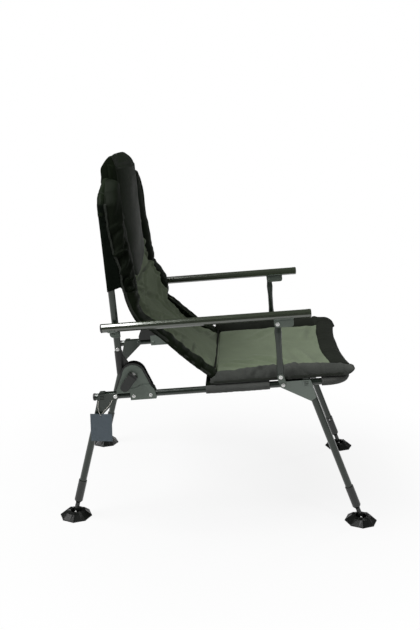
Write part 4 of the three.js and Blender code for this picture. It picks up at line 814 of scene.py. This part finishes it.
def make_seat_border(side, name):
    start = seat_point(0, SEAT_CREASE + 0.016, SEAT_BASE)
    end = seat_point(0, SEAT_FRONT, SEAT_BASE)
    length = (end - start).length
    folds = scattered_folds(11 + side, 26, 0.05, length, 0.0020, 0.007)
    for index in range(4):
        reach = 0.012 + 0.017 * index
        for start_r, way, fall in ((POST_PRESS[0], -1, 0.020), (POST_PRESS[1], 1, 0.030)):
            end_r = start_r + way * (reach + fall)
            folds.append((-0.020, start_r + way * 0.2 * reach, 0.060, end_r, 0.0042, 0.0065))

    def front(u, v):
        x, r = u * BORDER_HALF, v * length
        profile = between(BORDER_PROFILE, v)
        crown = 1 - 0.25 * max(0, -u * side) ** 2
        rise = 1.28 + 1.1 * max(0, 1 - v / 0.22) if side > 0 else 1
        return BORDER_HEIGHT * profile * crown * rise + wander(x + side, r, 0, 0.05, 0.002)

    def width(v):
        return BORDER_HALF * (0.5 + 0.5 * rounded_ends(v, 0.075))

    def path(v):
        lift = BORDER_END_LIFT * max(0, (v - 0.93) / 0.07) ** 2 * (0.2 if side > 0 else 1)
        return start.lerp(end, v) + Vector((0, 0, lift))

    # Both borders are the black cloth: the near one is painted much lighter and the far one a little lighter, as
    # painted light.
    material = "band_cloth" if side > 0 else "border_cloth"
    return pad("seat_border_" + name, path, width, front, flat_back, stations=150, sides=72,
               edge=0.72, end_share=0.07, centre=constant(side * BORDER_CENTRE), material=material,
               relief=lambda s, r: fold_height(folds, s, r), outer=side)


def make_seat_band():
    half = SEAT_PANEL_HALF + 0.022
    folds = scattered_folds(5, 22, 0.030, 2 * half, 0.0016, 0.008, 0.02)

    def place(v, turn):
        x = half * (2 * v - 1)
        middle = 1 - (x / half) ** 2
        out = spread_power(math.cos(turn), 0.6)
        lift = spread_power(math.sin(turn), 0.6)
        ends = rounded_ends(v, 0.04)
        rise = BAND_RISE - 0.0075 * middle - 0.004 * max(0, -out)
        rise += wander(x, 0, 0, 0.07, 0.0018) + fold_height(folds, out * BAND_HALF, x + half)
        drop = FLAT_BACK + BAND_LIP * max(0, -out) ** 3
        up = SEAT_BASE + (rise * lift if lift > 0 else drop * lift) * ends
        along = BAND_PLACE + BAND_DIP * middle + out * BAND_HALF * (0.5 + 0.5 * ends)
        return seat_point(x, along, up)

    # The band is the black cloth, painted lighter as painted light from above.
    return swept("seat_band", place, 110, 40, material="band_cloth")


def make_crease_piping():
    """The dark seam where the seat meets the lower back."""
    def place(v, turn):
        x = SEAT_PANEL_HALF * (2 * v - 1)
        lift = 0.0172 + 0.010 * abs(2 * v - 1) ** 2.4
        radius = PIPING_RADIUS * rounded_ends(v, 0.02)
        along = SEAT_CREASE + 0.001 + radius * math.cos(turn)
        return seat_point(x, along, SEAT_BASE + lift + radius * math.sin(turn))

    return swept("crease_piping", place, 60, 10, material="piping")


# Lower back: a green panel between two borders, from the seat up to the back

LOWER_PATH = [
    # forward and up, in the world frame
    (0.002, 0.4345), (0.022, 0.448), (0.049, 0.468), (0.078, 0.489), (0.107, 0.512), (0.135, 0.536),
    (0.163, 0.561), (0.196, 0.586), (0.228, 0.614), (0.248, 0.645), (0.262, 0.678), (0.269, 0.704),
]
LOWER_PANEL_HALF = 0.222
LOWER_BORDER_CENTRE = 0.240
LOWER_BORDER_HALF = 0.034
LOWER_BORDER_WIDTHS = [(0, 0.8), (0.6, 0.8), (0.75, 1.1), (1, 1.05)]
LOWER_BORDER_BOW = [(0, 0), (0.6, -0.010), (0.8, 0.010), (1, 0.010)]
LOWER_DROP = [
    # along the cushion, how far its far side hangs down
    (0, 0), (0.1, 0.010), (0.2, 0.022), (0.33, 0.030), (0.42, 0.030),
    (0.52, 0.026), (0.6, 0.020), (0.68, 0.004), (0.76, 0), (1, 0),
]
LOWER_FAR_SWELL = [
    # along the cushion, how much thicker its far side is
    (0, 0), (0.6, 0.004), (0.685, 0.012), (0.77, 0.018), (0.877, 0.018), (0.965, 0.008), (1, 0.003),
]
LOWER_DEPTHS = [(0, 0.010), (0.3, 0.0105), (0.6, 0.013), (0.75, 0.017), (0.88, 0.023), (1, 0.030)]
LOWER_NEAR_DEPTHS = [
    (0, 0.018), (0.66, 0.018), (0.71, 0.020), (0.78, 0.020), (0.84, 0.023), (0.92, 0.029), (1, 0.035),
]
LOWER_FAR_DEPTHS = [
    (0, 0.018), (0.15, 0.022), (0.277, 0.024), (0.4, 0.028), (0.484, 0.030), (0.53, 0.026), (0.597, 0.016),
    (0.65, 0.033), (0.70, 0.043), (0.77, 0.047), (0.86, 0.046), (0.95, 0.036), (1, 0.032),
]
LOWER_BORDER_REAR = [(0, 0.001), (0.3, 0.003), (0.6, 0.005), (1, 0.003)]


lower_path = curve([Vector((0, y, z)) for y, z in LOWER_PATH])


def far_share(x):
    """0 on the near side of the cushion, rising to 1 at its far side, where it hangs lower."""
    return eased((x + 0.03) / 0.22)


def hang(x, v):
    """How far down the cushion hangs."""
    return far_share(x) * between(LOWER_DROP, v)


LOWER_FOLDS = [
    # across and up the cushion at both ends, height, half width
    (-0.130, 0.405, 0.060, 0.372, 0.0070, 0.0070),
    (0.040, 0.392, -0.090, 0.318, 0.0080, 0.0075),
    (0.010, 0.418, 0.200, 0.372, 0.0080, 0.0080),
    (0.150, 0.402, 0.205, 0.300, 0.0070, 0.0075),
    (0.215, 0.345, 0.070, 0.262, 0.0080, 0.0085),
    (-0.225, 0.390, -0.060, 0.322, 0.0080, 0.0070),
    (-0.225, 0.420, -0.090, 0.352, 0.0065, 0.0060),
    (-0.090, 0.352, 0.070, 0.270, 0.0080, 0.0085),
    (0.030, 0.300, 0.060, 0.170, 0.0060, 0.0090),
    (-0.215, 0.362, -0.150, 0.250, 0.0070, 0.0085),
    (0.220, 0.290, 0.060, 0.195, 0.0065, 0.0095),
    (-0.160, 0.300, -0.020, 0.190, 0.0055, 0.0095),
    (0.225, 0.220, 0.090, 0.120, 0.0055, 0.0100),
    (-0.225, 0.250, -0.080, 0.130, 0.0055, 0.0100),
]


def make_lower_panel():
    folds = LOWER_FOLDS + edge_folds(
        random.Random(21), half_width=0.212, start=0.03, gap=0.030, shift=0.008,
        inner=(0.06, 0.15), fall=(0.0, 0.05), depth=(0.003, 0.006), breadth=(0.006, 0.010),
    )

    def front(u, v):
        x = u * LOWER_PANEL_HALF
        return between(LOWER_DEPTHS, v) + far_share(x) * between(LOWER_FAR_SWELL, v) - hang(x, v)

    def rear(u, v):
        return FLAT_BACK + hang(u * LOWER_PANEL_HALF, v)

    return pad("lower_panel", lower_path, constant(LOWER_PANEL_HALF), front, rear,
               stations=170, sides=260, edge=0.4, end_share=0.02, slot="green_cloth",
               replaced=("lower_back_pad",), relief=creased(folds, 5, 0.06, 0.004))


def lower_border_half(v):
    """Half the width of a border of the lower back."""
    return LOWER_BORDER_HALF * between(LOWER_BORDER_WIDTHS, v)


def lower_border_out(v):
    """How far from the chair's middle a border of the lower back runs."""
    return LOWER_BORDER_CENTRE + between(LOWER_BORDER_BOW, v)


def make_lower_border(side, name):
    folds = scattered_folds(31 + side, 22, 0.05, 0.39, 0.0010 if side > 0 else 0.0030, 0.010, 0.03)
    depths = LOWER_FAR_DEPTHS if side > 0 else LOWER_NEAR_DEPTHS

    def drop(u, v):
        return hang(side * LOWER_BORDER_CENTRE + u * LOWER_BORDER_HALF, v)

    def front(u, v):
        return between(depths, v) - drop(u, v)

    def rear(u, v):
        return between(LOWER_BORDER_REAR, v) + drop(u, v)

    def centre(v):
        return side * lower_border_out(v)

    return pad("lower_border_" + name, lower_path, lower_border_half, front, rear,
               stations=150, sides=72, edge=0.7, end_share=0.04, centre=centre,
               relief=creased(folds, side, 0.07, 0.003), outer=side)


BACKING_DEPTHS = (0.0012, 0.0032)


def make_lower_backing():
    """The black cloth on the underside of the lower back."""
    def front(u, v):
        return -BACKING_DEPTHS[0] - hang(u * LOWER_PANEL_HALF, v)

    def rear(u, v):
        return BACKING_DEPTHS[1] + hang(u * LOWER_PANEL_HALF, v)

    return pad("lower_backing", lower_path, constant(LOWER_PANEL_HALF * 0.98), front, rear,
               stations=60, sides=80, edge=0.3, end_share=0.02)


# Back cushion: green sides, a black wing down each edge and a crowned black pillow down the middle

BACK_LOW = 0.247
BACK_REAR = 0.0265
PANEL_HALF = 0.212
GREEN_HIGH = 0.437
PANEL_HIGH = 0.556
PANEL_DEPTHS = [(0, 0.052), (0.2, 0.045), (0.36, 0.0385), (0.57, 0.0325), (0.75, 0.0265), (1, 0.022)]
WING_CENTRE = 0.246
WING_HALF = 0.042
WING_LOW = 0.236
WING_HIGH = 0.562
WING_CREST = [
    # above the pivot, ahead of the back's line
    (0.236, 0.059), (0.269, 0.0585), (0.313, 0.0535), (0.370, 0.050), (0.399, 0.045),
    (0.451, 0.041), (0.511, 0.039), (0.566, 0.036), (0.600, 0.034),
]
WING_REAR = [
    (0.236, -0.0275), (0.266, -0.0205), (0.314, -0.0205), (0.371, -0.0045), (0.436, 0.0015), (0.6, 0.0015),
]
WING_WIDTHS = [(0, 0.80), (0.15, 0.86), (0.4, 0.95), (0.78, 1), (0.9, 0.78), (1, 0.28)]
WING_DRAW_IN = [(0, 0), (0.78, 0), (1, 0.030)]
WING_LONG_FOLDS = [
    (0.004, 0.330, 0.030, 0.150, 0.0035, 0.0045),
    (0.012, 0.290, 0.048, 0.120, 0.0030, 0.0045),
    (0.030, 0.300, 0.070, 0.200, 0.0022, 0.006),
]
PILLOW_HALF = 0.162
PILLOW_LOW = 0.243
PILLOW_HIGH = 0.60
PILLOW_FOOT = [
    # across, above the pivot
    (-0.16, 0.246), (-0.08, 0.255), (-0.04, 0.266), (0, 0.282), (0.065, 0.304), (0.15, 0.350), (0.17, 0.38),
]
PILLOW_FOOT_ROUND = 0.014
PILLOW_FOOT_HALF = 0.15
PILLOW_SINK = 0.014
PILLOW_CREST = [(0, 0.054), (0.12, 0.0535), (0.3, 0.0525), (1, 0.0525)]
PILLOW_CROWN = [(0, 0.02), (0.25, 0.20), (0.5, 0.42), (1, 0.46)]


def back_line(low, high):
    return straight(back_point(0, BACK_REAR, low), back_point(0, BACK_REAR, high))


def panel_depth(height):
    return between(PANEL_DEPTHS, (height - BACK_LOW) / (PANEL_HIGH - BACK_LOW))


def pillow_share(x, height):
    """1 where the pillow lies over the green panel, 0 below the pillow's foot."""
    return eased((height - between(PILLOW_FOOT, x)) / PILLOW_FOOT_ROUND)


def make_back_panel():
    folds = edge_folds(
        random.Random(41), half_width=0.215, start=-0.01, gap=0.020, shift=0.004,
        inner=(0.10, 0.15), fall=(0.035, 0.075), depth=(0.005, 0.009), breadth=(0.006, 0.008),
    )

    def front(u, v):
        height = BACK_LOW + v * (GREEN_HIGH - BACK_LOW)
        x = u * PANEL_HALF
        sink = PILLOW_SINK * pillow_share(x, height) if abs(x) < PILLOW_FOOT_HALF else 0
        return panel_depth(height) - 0.005 * (1 - far_share(x)) - sink

    uncovered = creased(folds, 9, 0.06, 0.003)

    def relief(s, r):
        height = BACK_LOW + r - 0.045
        return uncovered(s, r) * (1 - pillow_share(s, height) if abs(s) < PILLOW_FOOT_HALF else 1)

    return pad("back_panel", back_line(BACK_LOW, GREEN_HIGH), constant(PANEL_HALF), front, flat_back,
               stations=120, sides=240, edge=0.4, end_share=0.03, slot="green_cloth",
               replaced=("back_pad",), relief=relief)


def make_upper_panel():
    low = GREEN_HIGH - 0.006

    def front(u, v):
        return panel_depth(low + v * (PANEL_HIGH - GREEN_HIGH))

    return pad("upper_panel", back_line(low, PANEL_HIGH), constant(PANEL_HALF), front, flat_back,
               stations=50, sides=120, edge=0.4, end_share=0.08)


def make_wing(side, name):
    length = WING_HIGH - WING_LOW
    draw = random.Random(52 + side)
    folds = []
    for index in range(13):
        r = 0.085 + 0.013 * index + draw.uniform(-0.005, 0.005)
        start = draw.uniform(-0.004, 0.022) + (0.018 if side > 0 else 0)
        end = draw.uniform(0.055, 0.085)
        fall = draw.uniform(0.02, 0.09)
        depth = draw.uniform(0.003, 0.0065) * (0.2 if side > 0 else 1)
        folds.append((start, r, end, r - fall, depth, draw.uniform(0.0045, 0.008)))
    for index in range(5):
        r = 0.01 + 0.018 * index
        folds.append((draw.uniform(-0.03, 0.0), r, draw.uniform(0.05, 0.08), r + draw.uniform(-0.02, 0.02),
                      draw.uniform(0.003, 0.005) * (0.3 if side > 0 else 1), 0.007))
    folds += WING_LONG_FOLDS

    def front(u, v):
        crest = between(WING_CREST, WING_LOW + v * length)
        return crest * (1 - 0.06 * max(0, u * side) ** 2 - 0.12 * max(0, -u * side) ** 2)

    def rear(u, v):
        return between(WING_REAR, WING_LOW + v * length)

    def width(v):
        return WING_HALF * between(WING_WIDTHS, v)

    def centre(v):
        return side * (WING_CENTRE - between(WING_DRAW_IN, v))

    # The wings are the black cloth, painted a little darker as painted shade.
    return pad("back_wing_" + name, back_line(WING_LOW, WING_HIGH), width, front, rear,
               stations=180, sides=96, edge=0.62, end_share=0.05, centre=centre, material="wing_cloth",
               relief=creased(folds, side, 0.05, 0.003), outer=side)


def make_pillow():
    length = PILLOW_HIGH - PILLOW_LOW

    def front(u, v):
        height = PILLOW_LOW + v * length
        shown = pillow_share(u * PILLOW_HALF, height)
        crown = between(PILLOW_CREST, v) * (1 - between(PILLOW_CROWN, v) * abs(u) ** 2.2)
        crown += wander(u * PILLOW_HALF, height, 2, 0.08, 0.0016)
        return crown * shown + (panel_depth(height) - 0.016) * (1 - shown)

    return pad("head_pillow", back_line(PILLOW_LOW, PILLOW_HIGH), constant(PILLOW_HALF), front, flat_back,
               stations=130, sides=160, edge=0.42, end_share=0.05)


HOOD_HALF = 0.156
HOOD_PROFILE = [
    # behind the pivot plane, above the pivot
    (0.049, 0.541), (0.050, 0.566), (0.049, 0.588), (0.040, 0.602), (0.026, 0.617), (0.010, 0.6265),
    (-0.004, 0.619), (-0.016, 0.608), (-0.0235, 0.594), (-0.0245, 0.574), (-0.023, 0.545), (0.010, 0.541),
]
HOOD_MIDDLE = 0.0135
HOOD_MIDDLE_UP = 0.575
HOOD_END_SIZE = 0.82
HOOD_ARCH = 0.022
HOOD_ARCH_FROM = 0.54
HOOD_ARCH_HEIGHT = 0.086
HOOD_FRONT_DRAW = 0.028
HOOD_FRONT_DEPTH = 0.038
HOOD_FOLDS = [(-0.150, 0.010, -0.05, 0.020, 0.0022, 0.007), (0.150, 0.010, 0.05, 0.020, 0.0022, 0.007)]


def hood_section(share):
    """A place on the hood's closed section, share once round."""
    count = len(HOOD_PROFILE)
    place = share * count
    index = int(place) % count
    near = [Vector(HOOD_PROFILE[(index + k) % count]) for k in (-1, 0, 1, 2)]
    return spline(*near, place - int(place))


def make_hood():
    def place(v, turn):
        across = math.sin(math.pi / 2 * (2 * v - 1))
        behind, up = hood_section(turn / (2 * math.pi))
        fullness = HOOD_END_SIZE + (1 - HOOD_END_SIZE) * rounded_ends(v, 0.05, 3)
        behind = HOOD_MIDDLE + (behind - HOOD_MIDDLE) * fullness
        up = HOOD_MIDDLE_UP + (up - HOOD_MIDDLE_UP) * fullness
        rise = max(0, up - HOOD_ARCH_FROM) / HOOD_ARCH_HEIGHT
        forward = max(0, HOOD_MIDDLE - behind) / HOOD_FRONT_DEPTH
        behind += HOOD_FRONT_DRAW * forward * across ** 2
        at_front = 1 - min(max(behind / 0.02, 0), 1) if across < 0 else 1
        up -= HOOD_ARCH * rise * at_front * across ** 2
        lump = wander(across, behind * 8, up * 8, 0.35, 0.0016)
        fold = fold_height(HOOD_FOLDS, HOOD_HALF * across, behind)
        return back_point(HOOD_HALF * across, behind + lump, up + lump + fold)

    return swept("head_hood_cloth", place, 90, 96, replaced=("head_hood",))


# Slings: a sheet behind the back frame and one under the seat cushion, with sleeves round the tubes

TUBE_BEHIND = 0.037
SLING_OUT = 0.2915
SLING_REAR = 0.0488
SLING_CLOTH = 0.0018
SLING_LOW = 0.250
SLING_HIGH = 0.500
SLING_EDGE = [(0.250, 0.006), (0.300, 0.007), (0.371, 0.0225), (0.436, 0.0285), (0.505, 0.031)]
SLING_CORNER = 0.011
SIDE_SHARE = 0.18
CORNER_SHARE = 0.16
SLING_ROWS = 60
SLING_COLUMNS = 64
SLING_WRAP = 0.012
SLING_HEM_RISE = 0.013


def sling_section(front_edge):
    """Half of a C: from the front edge on one side, round the tube and across the back to the middle."""
    flat_out = SLING_OUT - SLING_CORNER
    flat_rear = SLING_REAR - SLING_CORNER
    points = []
    for k in range(SLING_COLUMNS + 1):
        share = k / SLING_COLUMNS
        if share < SIDE_SHARE:
            points.append((SLING_OUT, front_edge + (flat_rear - front_edge) * share / SIDE_SHARE))
        elif share < SIDE_SHARE + CORNER_SHARE:
            angle = (share - SIDE_SHARE) / CORNER_SHARE * math.pi / 2
            out = flat_out + SLING_CORNER * math.cos(angle)
            points.append((out, flat_rear + SLING_CORNER * math.sin(angle)))
        else:
            across = (share - SIDE_SHARE - CORNER_SHARE) / (1 - SIDE_SHARE - CORNER_SHARE)
            points.append((flat_out * (1 - across), SLING_REAR))
    return points


def sling_place(x, behind, front_edge, v, layer):
    """A place on the sling's outer or inner face, with the puckers of the part that wraps the tube."""
    nearness = max(0, 1 - (behind - front_edge) / 0.02) if behind < SLING_REAR - 0.01 else 0
    low = SLING_LOW + SLING_HEM_RISE * max(0, 1 - (behind - 0.006) / 0.044)
    height = low + (SLING_HIGH - low) * v
    pucker = 0.0016 * math.sin(height * 180 + 9 * math.sin(height * 40)) * nearness
    puff = wander(x, height, 3, 0.07, 0.0012) + pucker
    inward = layer * SLING_CLOTH
    if abs(x) < SLING_OUT - 0.004:
        behind -= inward
    if abs(x) > SLING_OUT - SLING_WRAP:
        x += math.copysign(puff, x) - math.copysign(inward, x)
    else:
        behind += puff
    return back_point(x, behind, height)


def make_back_sling():
    vertices = []
    for j in range(SLING_ROWS + 1):
        v = j / SLING_ROWS
        front_edge = between(SLING_EDGE, SLING_LOW + (SLING_HIGH - SLING_LOW) * v)
        half = sling_section(front_edge)
        line = [(-x, behind) for x, behind in half] + half[-2::-1]
        vertices += [sling_place(x, behind, front_edge, v, 0) for x, behind in line]
        vertices += [sling_place(x, behind, front_edge, v, 1) for x, behind in reversed(line)]
    ring = 2 * len(line)
    faces = ring_faces(SLING_ROWS, ring)
    for first in (0, SLING_ROWS * ring):
        for i in range(len(line) - 1):
            faces.append((first + i, first + i + 1, first + ring - i - 2, first + ring - i - 1))
    # The sling is the black cloth, painted darker as painted shade.
    return mesh_object("back_sling_cloth", vertices, faces, "black_cloth", "sling_cloth", ("back_sling",))


HEAD_SLEEVE_RADIUS = 0.0128
BEND_CENTRE = 0.230
BEND_RADIUS = 0.050
BEND_START = 0.472
BOW_SLOPE = math.radians(18)
BOW_RADIUS = 0.194
BOW_HALF_FLAT = 0.090


def arc(across, up, radius, start, end, count):
    """Points of a round bend from one angle to another."""
    angles = np.linspace(start, end, count)
    return [(across + radius * math.cos(angle), up + radius * math.sin(angle)) for angle in angles]


def head_path():
    """The line of the back frame from one shoulder over the head to the other."""
    points = [(RAIL_HALF_WIDTH, SLING_HIGH - 0.034)]
    sweep = math.pi / 2 - BOW_SLOPE
    points += arc(BEND_CENTRE, BEND_START, BEND_RADIUS, 0, sweep, 9)
    end_across, end_up = points[-1]
    arc_start = BOW_HALF_FLAT + BOW_RADIUS * math.sin(BOW_SLOPE)
    arc_up = end_up + (end_across - arc_start) * math.tan(BOW_SLOPE)
    bow_up = arc_up - BOW_RADIUS * math.cos(BOW_SLOPE)
    points += arc(BOW_HALF_FLAT, bow_up, BOW_RADIUS, sweep, math.pi / 2, 5)
    return points + [(-x, height) for x, height in reversed(points)]


def tube_place(path, v, turn, normal, radius):
    """A place on a round tube along a path that lies square to the normal."""
    side = heading(path, v, 0.003).cross(normal).normalized()
    return path(v) + side * (radius * math.cos(turn)) + normal * (radius * math.sin(turn))


def make_head_sleeve():
    path = curve([back_point(x, TUBE_BEHIND, height) for x, height in head_path()])
    normal = (back_point(0, 1, 0) - back_point(0, 0, 0)).normalized()

    def place(v, turn):
        wrinkle = 0.0002 * math.sin(v * 160 + 2 * math.sin(turn * 2)) + wander(v * 3, turn, 0, 0.5, 0.0008)
        return tube_place(path, v, turn, normal, HEAD_SLEEVE_RADIUS + wrinkle)

    return swept("head_sleeve", place, 150, 28)


SHEET_REAR = 0.034
SHEET_LENGTH = 0.410
SHEET_HALF = 0.284
SHEET_NARROW = 0.020
SHEET_UP = 0.0138
SHEET_HALF_CLOTH = 0.0009
SHEET_SAG = 0.003
RAIL_SLEEVE_LENGTH = 0.187
SLEEVE_RADIUS = 0.0132


def make_seat_sheet():
    def place(v, turn):
        along = SHEET_REAR - SHEET_LENGTH * v
        half = SHEET_HALF - SHEET_NARROW * min(max((-0.150 - along) / 0.02, 0), 1)
        out = spread_power(math.cos(turn), 0.3)
        sag = SHEET_SAG * math.sin(math.pi * v) * (1 - out * out)
        up = SHEET_UP + SHEET_HALF_CLOTH * spread_power(math.sin(turn), 0.3) - sag
        return seat_point(out * half, along, up)

    return swept("seat_sheet", place, 60, 80, replaced=("seat_sling",))


def make_rail_sleeve(side, name):
    def place(v, turn):
        wrinkle = wander(v * 4, turn, side, 0.6, 0.0008) + 0.0002 * math.sin(v * 70 + turn)
        radius = SLEEVE_RADIUS + wrinkle
        up = radius * math.sin(turn)
        if up < 0:
            up *= 1.04
        across = RAIL_HALF_WIDTH + radius * math.cos(turn)
        return seat_point(side * across, SHEET_REAR - RAIL_SLEEVE_LENGTH * v, up)

    # The sleeve is the black sling cloth, painted lighter as painted light.
    return swept("rail_sleeve_" + name, place, 60, 32, material="sleeve_cloth")


FRONT_TUBE = -0.376
FRONT_CORNER = 0.050
FRONT_SLEEVE_END = -0.304


def make_front_sleeve():
    half = RAIL_HALF_WIDTH
    bend = arc(FRONT_CORNER - half, FRONT_TUBE + FRONT_CORNER, FRONT_CORNER, math.pi, 1.5 * math.pi, 7)
    points = [(-half, FRONT_SLEEVE_END)] + bend + [(-half / 2, FRONT_TUBE), (0, FRONT_TUBE)]
    points += [(-x, along) for x, along in reversed(points[:-1])]
    path = curve([seat_point(x, along, 0) for x, along in points])
    normal = (seat_point(0, 0, 1) - seat_point(0, 0, 0)).normalized()

    def place(v, turn):
        return tube_place(path, v, turn, normal, SLEEVE_RADIUS + wander(v * 5, turn, 7, 0.5, 0.001))

    # The sleeve is the black sling cloth, painted lighter as painted light.
    return swept("front_sleeve", place, 150, 28, material="sleeve_cloth")


BINDING_HALF = 0.0036
BINDING_THICK = 0.0016
WING_OUT = 0.2895


def binding(name, points, side):
    """A narrow folded tape along the outer edge of a cushion, painted lighter than the black cloth as a painted
    highlight along that edge.
    """
    path = curve(points)
    out = Vector((side, 0, 0))

    def place(v, turn):
        across = out.cross(heading(path, v, 0.004)).normalized()
        ends = rounded_ends(v, 0.01)
        wide = spread_power(math.cos(turn), 0.5) * BINDING_HALF * ends
        thick = spread_power(math.sin(turn), 0.7) * BINDING_THICK * ends
        pucker = 0.0002 * math.sin(v * 420) + 0.0005 * math.sin(v * 61)
        return path(v) + across * (wide + pucker) + out * (thick + pucker)

    return swept(name, place, 260, 16, material="binding_cloth")


def make_wing_binding(side, name):
    points = []
    for height in np.linspace(0.244, SLING_HIGH, 12):
        behind = BACK_REAR + between(WING_REAR, height) - 0.003
        points.append(back_point(side * WING_OUT, behind, height))
    return binding("wing_binding_" + name, points, side)


def make_lower_binding(side, name):
    points = []
    for v in np.linspace(0.02, 0.99, 14):
        here = lower_path(v)
        drop = hang(side * 0.27, v)
        out = lower_border_out(v) + lower_border_half(v) - 0.001
        points.append(Vector((side * out, here.y - 0.004 + 0.4 * drop, here.z + 0.004 - 0.8 * drop)))
    return binding("lower_binding_" + name, points, side)


def make_seat_binding(side, name):
    points = [seat_point(side * (BORDER_CENTRE + BORDER_HALF), along, SEAT_BASE + 0.006)
              for along in np.linspace(SEAT_CREASE + 0.004, SEAT_FRONT + 0.034, 12)]
    return binding("seat_binding_" + name, points, side)


# Bright heads of the rivets and pins

FOOT_PIN_HEIGHT = 0.015
FOOT_PIN_OUT = 0.0073
HEAD_PROFILE = [
    # share of the radius, share of the height
    (1.0, -0.10), (1.0, 0.18), (0.93, 0.42), (0.78, 0.66), (0.55, 0.86), (0.28, 0.97), (0.06, 1.0),
]
HEADS = [
    # name, body, its place in that body's frame, radius
    ("front_pivot_head", "seat", (0.2938, -0.1918, 0.0), 0.0058),
    ("rear_pivot_head", "seat", (0.2918, 0.3010, 0.0), 0.0058),
    ("base_head_rear", "seat", (0.2975, 0.2454, 0.0), 0.0052),
    ("base_head_front", "seat", (0.2975, 0.1954, 0.0), 0.0052),
    ("recliner_arm_head", "back", (0.2903, 0.037, 0.080), 0.0052),
    ("post_foot_head", "post", (0.3128, -0.182, 0.466), 0.0058),
    ("arm_pivot_head", "post", (0.3128, -0.169, 0.6238), 0.0058),
]
HEAD_FRAMES = {"seat": seat_point, "back": back_point, "post": lambda x, y, z: Vector((x, y, z))}


def make_head(name, place, out, radius, height=0.0024):
    """A domed rivet head with a small set-back rim."""
    axis = Vector(out).normalized()
    side = axis.orthogonal().normalized()
    other = axis.cross(side)
    last = len(HEAD_PROFILE) - 1

    def point(v, turn):
        wide, high = HEAD_PROFILE[round(v * last)]
        flat = side * math.cos(turn) + other * math.sin(turn)
        return place + flat * (radius * wide) + axis * (height * high)

    return swept(name, point, last, 24, "bright_steel")


def make_foot_heads():
    """The bright ends of the pin that each foot swivels on."""
    heads = []
    for end in ("front", "rear"):
        for side, name in SIDES:
            low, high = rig.box(f"mud_foot_{end}_{name}")
            middle = (low + high) / 2
            for face, label in ((-1, "inner"), (1, "outer")):
                place = Vector((middle.x + face * FOOT_PIN_OUT, middle.y, FOOT_PIN_HEIGHT))
                head = make_head(f"foot_pin_{label}_{end}_{name}", place, (face, 0, 0), 0.0036, 0.0012)
                heads.append((f"{end}_{name}_foot", head))
    return heads


def make_heads():
    """Each head sits on the outer face of the bracket or tube that its rivet holds."""
    heads = []
    for side, name in SIDES:
        for label, body, (x, along, up), radius in HEADS:
            place = HEAD_FRAMES[body](side * x, along, up)
            head = make_head(f"{label}_{name}", place, (side, 0, 0), radius)
            heads.append((f"post_{name}_body" if body == "post" else body, head))
    return heads


# Swing tag's string

STRING_OUT = 0.280
STRING_RADIUS = 0.0006
STRING_STATIONS = 220
STRING_ROUTE = [
    # out from the leg's middle, y, z, in millimetres
    (13.4, 350, 379), (16.5, 350.5, 374), (20, 350.5, 364), (23, 349, 354), (24.2, 345.5, 344),
    (23.8, 342.6, 338.2), (22, 341.8, 336.8), (20.2, 341.2, 338.4), (20.2, 337, 345), (19.4, 328, 355.5),
    (18, 318, 367), (16, 311.5, 377), (13.4, 309, 383),
]


def make_string():
    points = [Vector((-(STRING_OUT + out / 1000), y / 1000, z / 1000)) for out, y, z in STRING_ROUTE]
    path = curve(points)
    count = STRING_STATIONS
    line = [path(k / count) for k in range(count + 1)]
    axes = []
    axis = Vector((1, 0, 0))
    for j in range(count + 1):
        ahead = (line[min(j + 1, count)] - line[max(j - 1, 0)]).normalized()
        axis = (axis - ahead * axis.dot(ahead)).normalized()
        axes.append((axis, ahead.cross(axis)))

    def place(v, turn):
        j = round(v * count)
        axis, other = axes[j]
        return line[j] + (axis * math.cos(turn) + other * math.sin(turn)) * STRING_RADIUS

    piece = swept("tag_string_cord", place, count, 10, "tag_string", replaced=("tag_string",))
    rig.ride(piece, "rear_right_leg")
    length = sum((b - a).length for a, b in zip(line, line[1:]))
    return piece, line, length


# Flat sizes of the two slings, across and along, in metres
BACK_SLING_FLAT = (0.672, 0.247)
SEAT_SHEET_FLAT = (0.560, 0.410)


def both(make):
    return [make(side, name) for side, name in SIDES]


seat_pads = [make_seat_panel(), make_seat_band()] + both(make_seat_border)
lower_pads = [make_lower_panel(), make_lower_backing()] + both(make_lower_border)
back_pads = [make_back_panel(), make_upper_panel(), make_pillow(), make_hood()] + both(make_wing)
seat_cloth = [make_crease_piping(), make_seat_sheet(), make_front_sleeve()]
seat_cloth += both(make_rail_sleeve) + both(make_seat_binding)
back_cloth = [make_back_sling(), make_head_sleeve()] + both(make_wing_binding)
lower_cloth = both(make_lower_binding)
for body, head in make_heads() + make_foot_heads():
    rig.ride(head, body)
tag_cord, tag_line, tag_length = make_string()
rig.cord(tag_cord, exit=tag_line[0], length=tag_length, diameter=2 * STRING_RADIUS, far_end="object",
        stiffness="limp", lay="hanging", path=tag_line, with_pieces=(nodes["swing_tag"],))

for piece in seat_pads + seat_cloth:
    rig.ride(piece, "seat")
for piece in back_pads + back_cloth:
    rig.ride(piece, "back")
for piece in lower_pads + lower_cloth:
    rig.blend(piece, "seat", "back", start=(0, 0.10, 0.50), end=(0, 0.27, 0.70))
for piece in seat_pads + lower_pads + back_pads:
    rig.padded(piece, fill=0.55)
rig.sheet(back_cloth[0], flat=BACK_SLING_FLAT, held="stretched", rests_on=("back_frame",))
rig.sheet(seat_cloth[1], flat=SEAT_SHEET_FLAT, held="stretched", rests_on=("seat_frame",))

size = {"cad": [list(v) for v in cad_box], "visual": [list(v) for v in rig.bounds()]}
with open("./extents.json", "w") as out:
    json.dump(size, out)
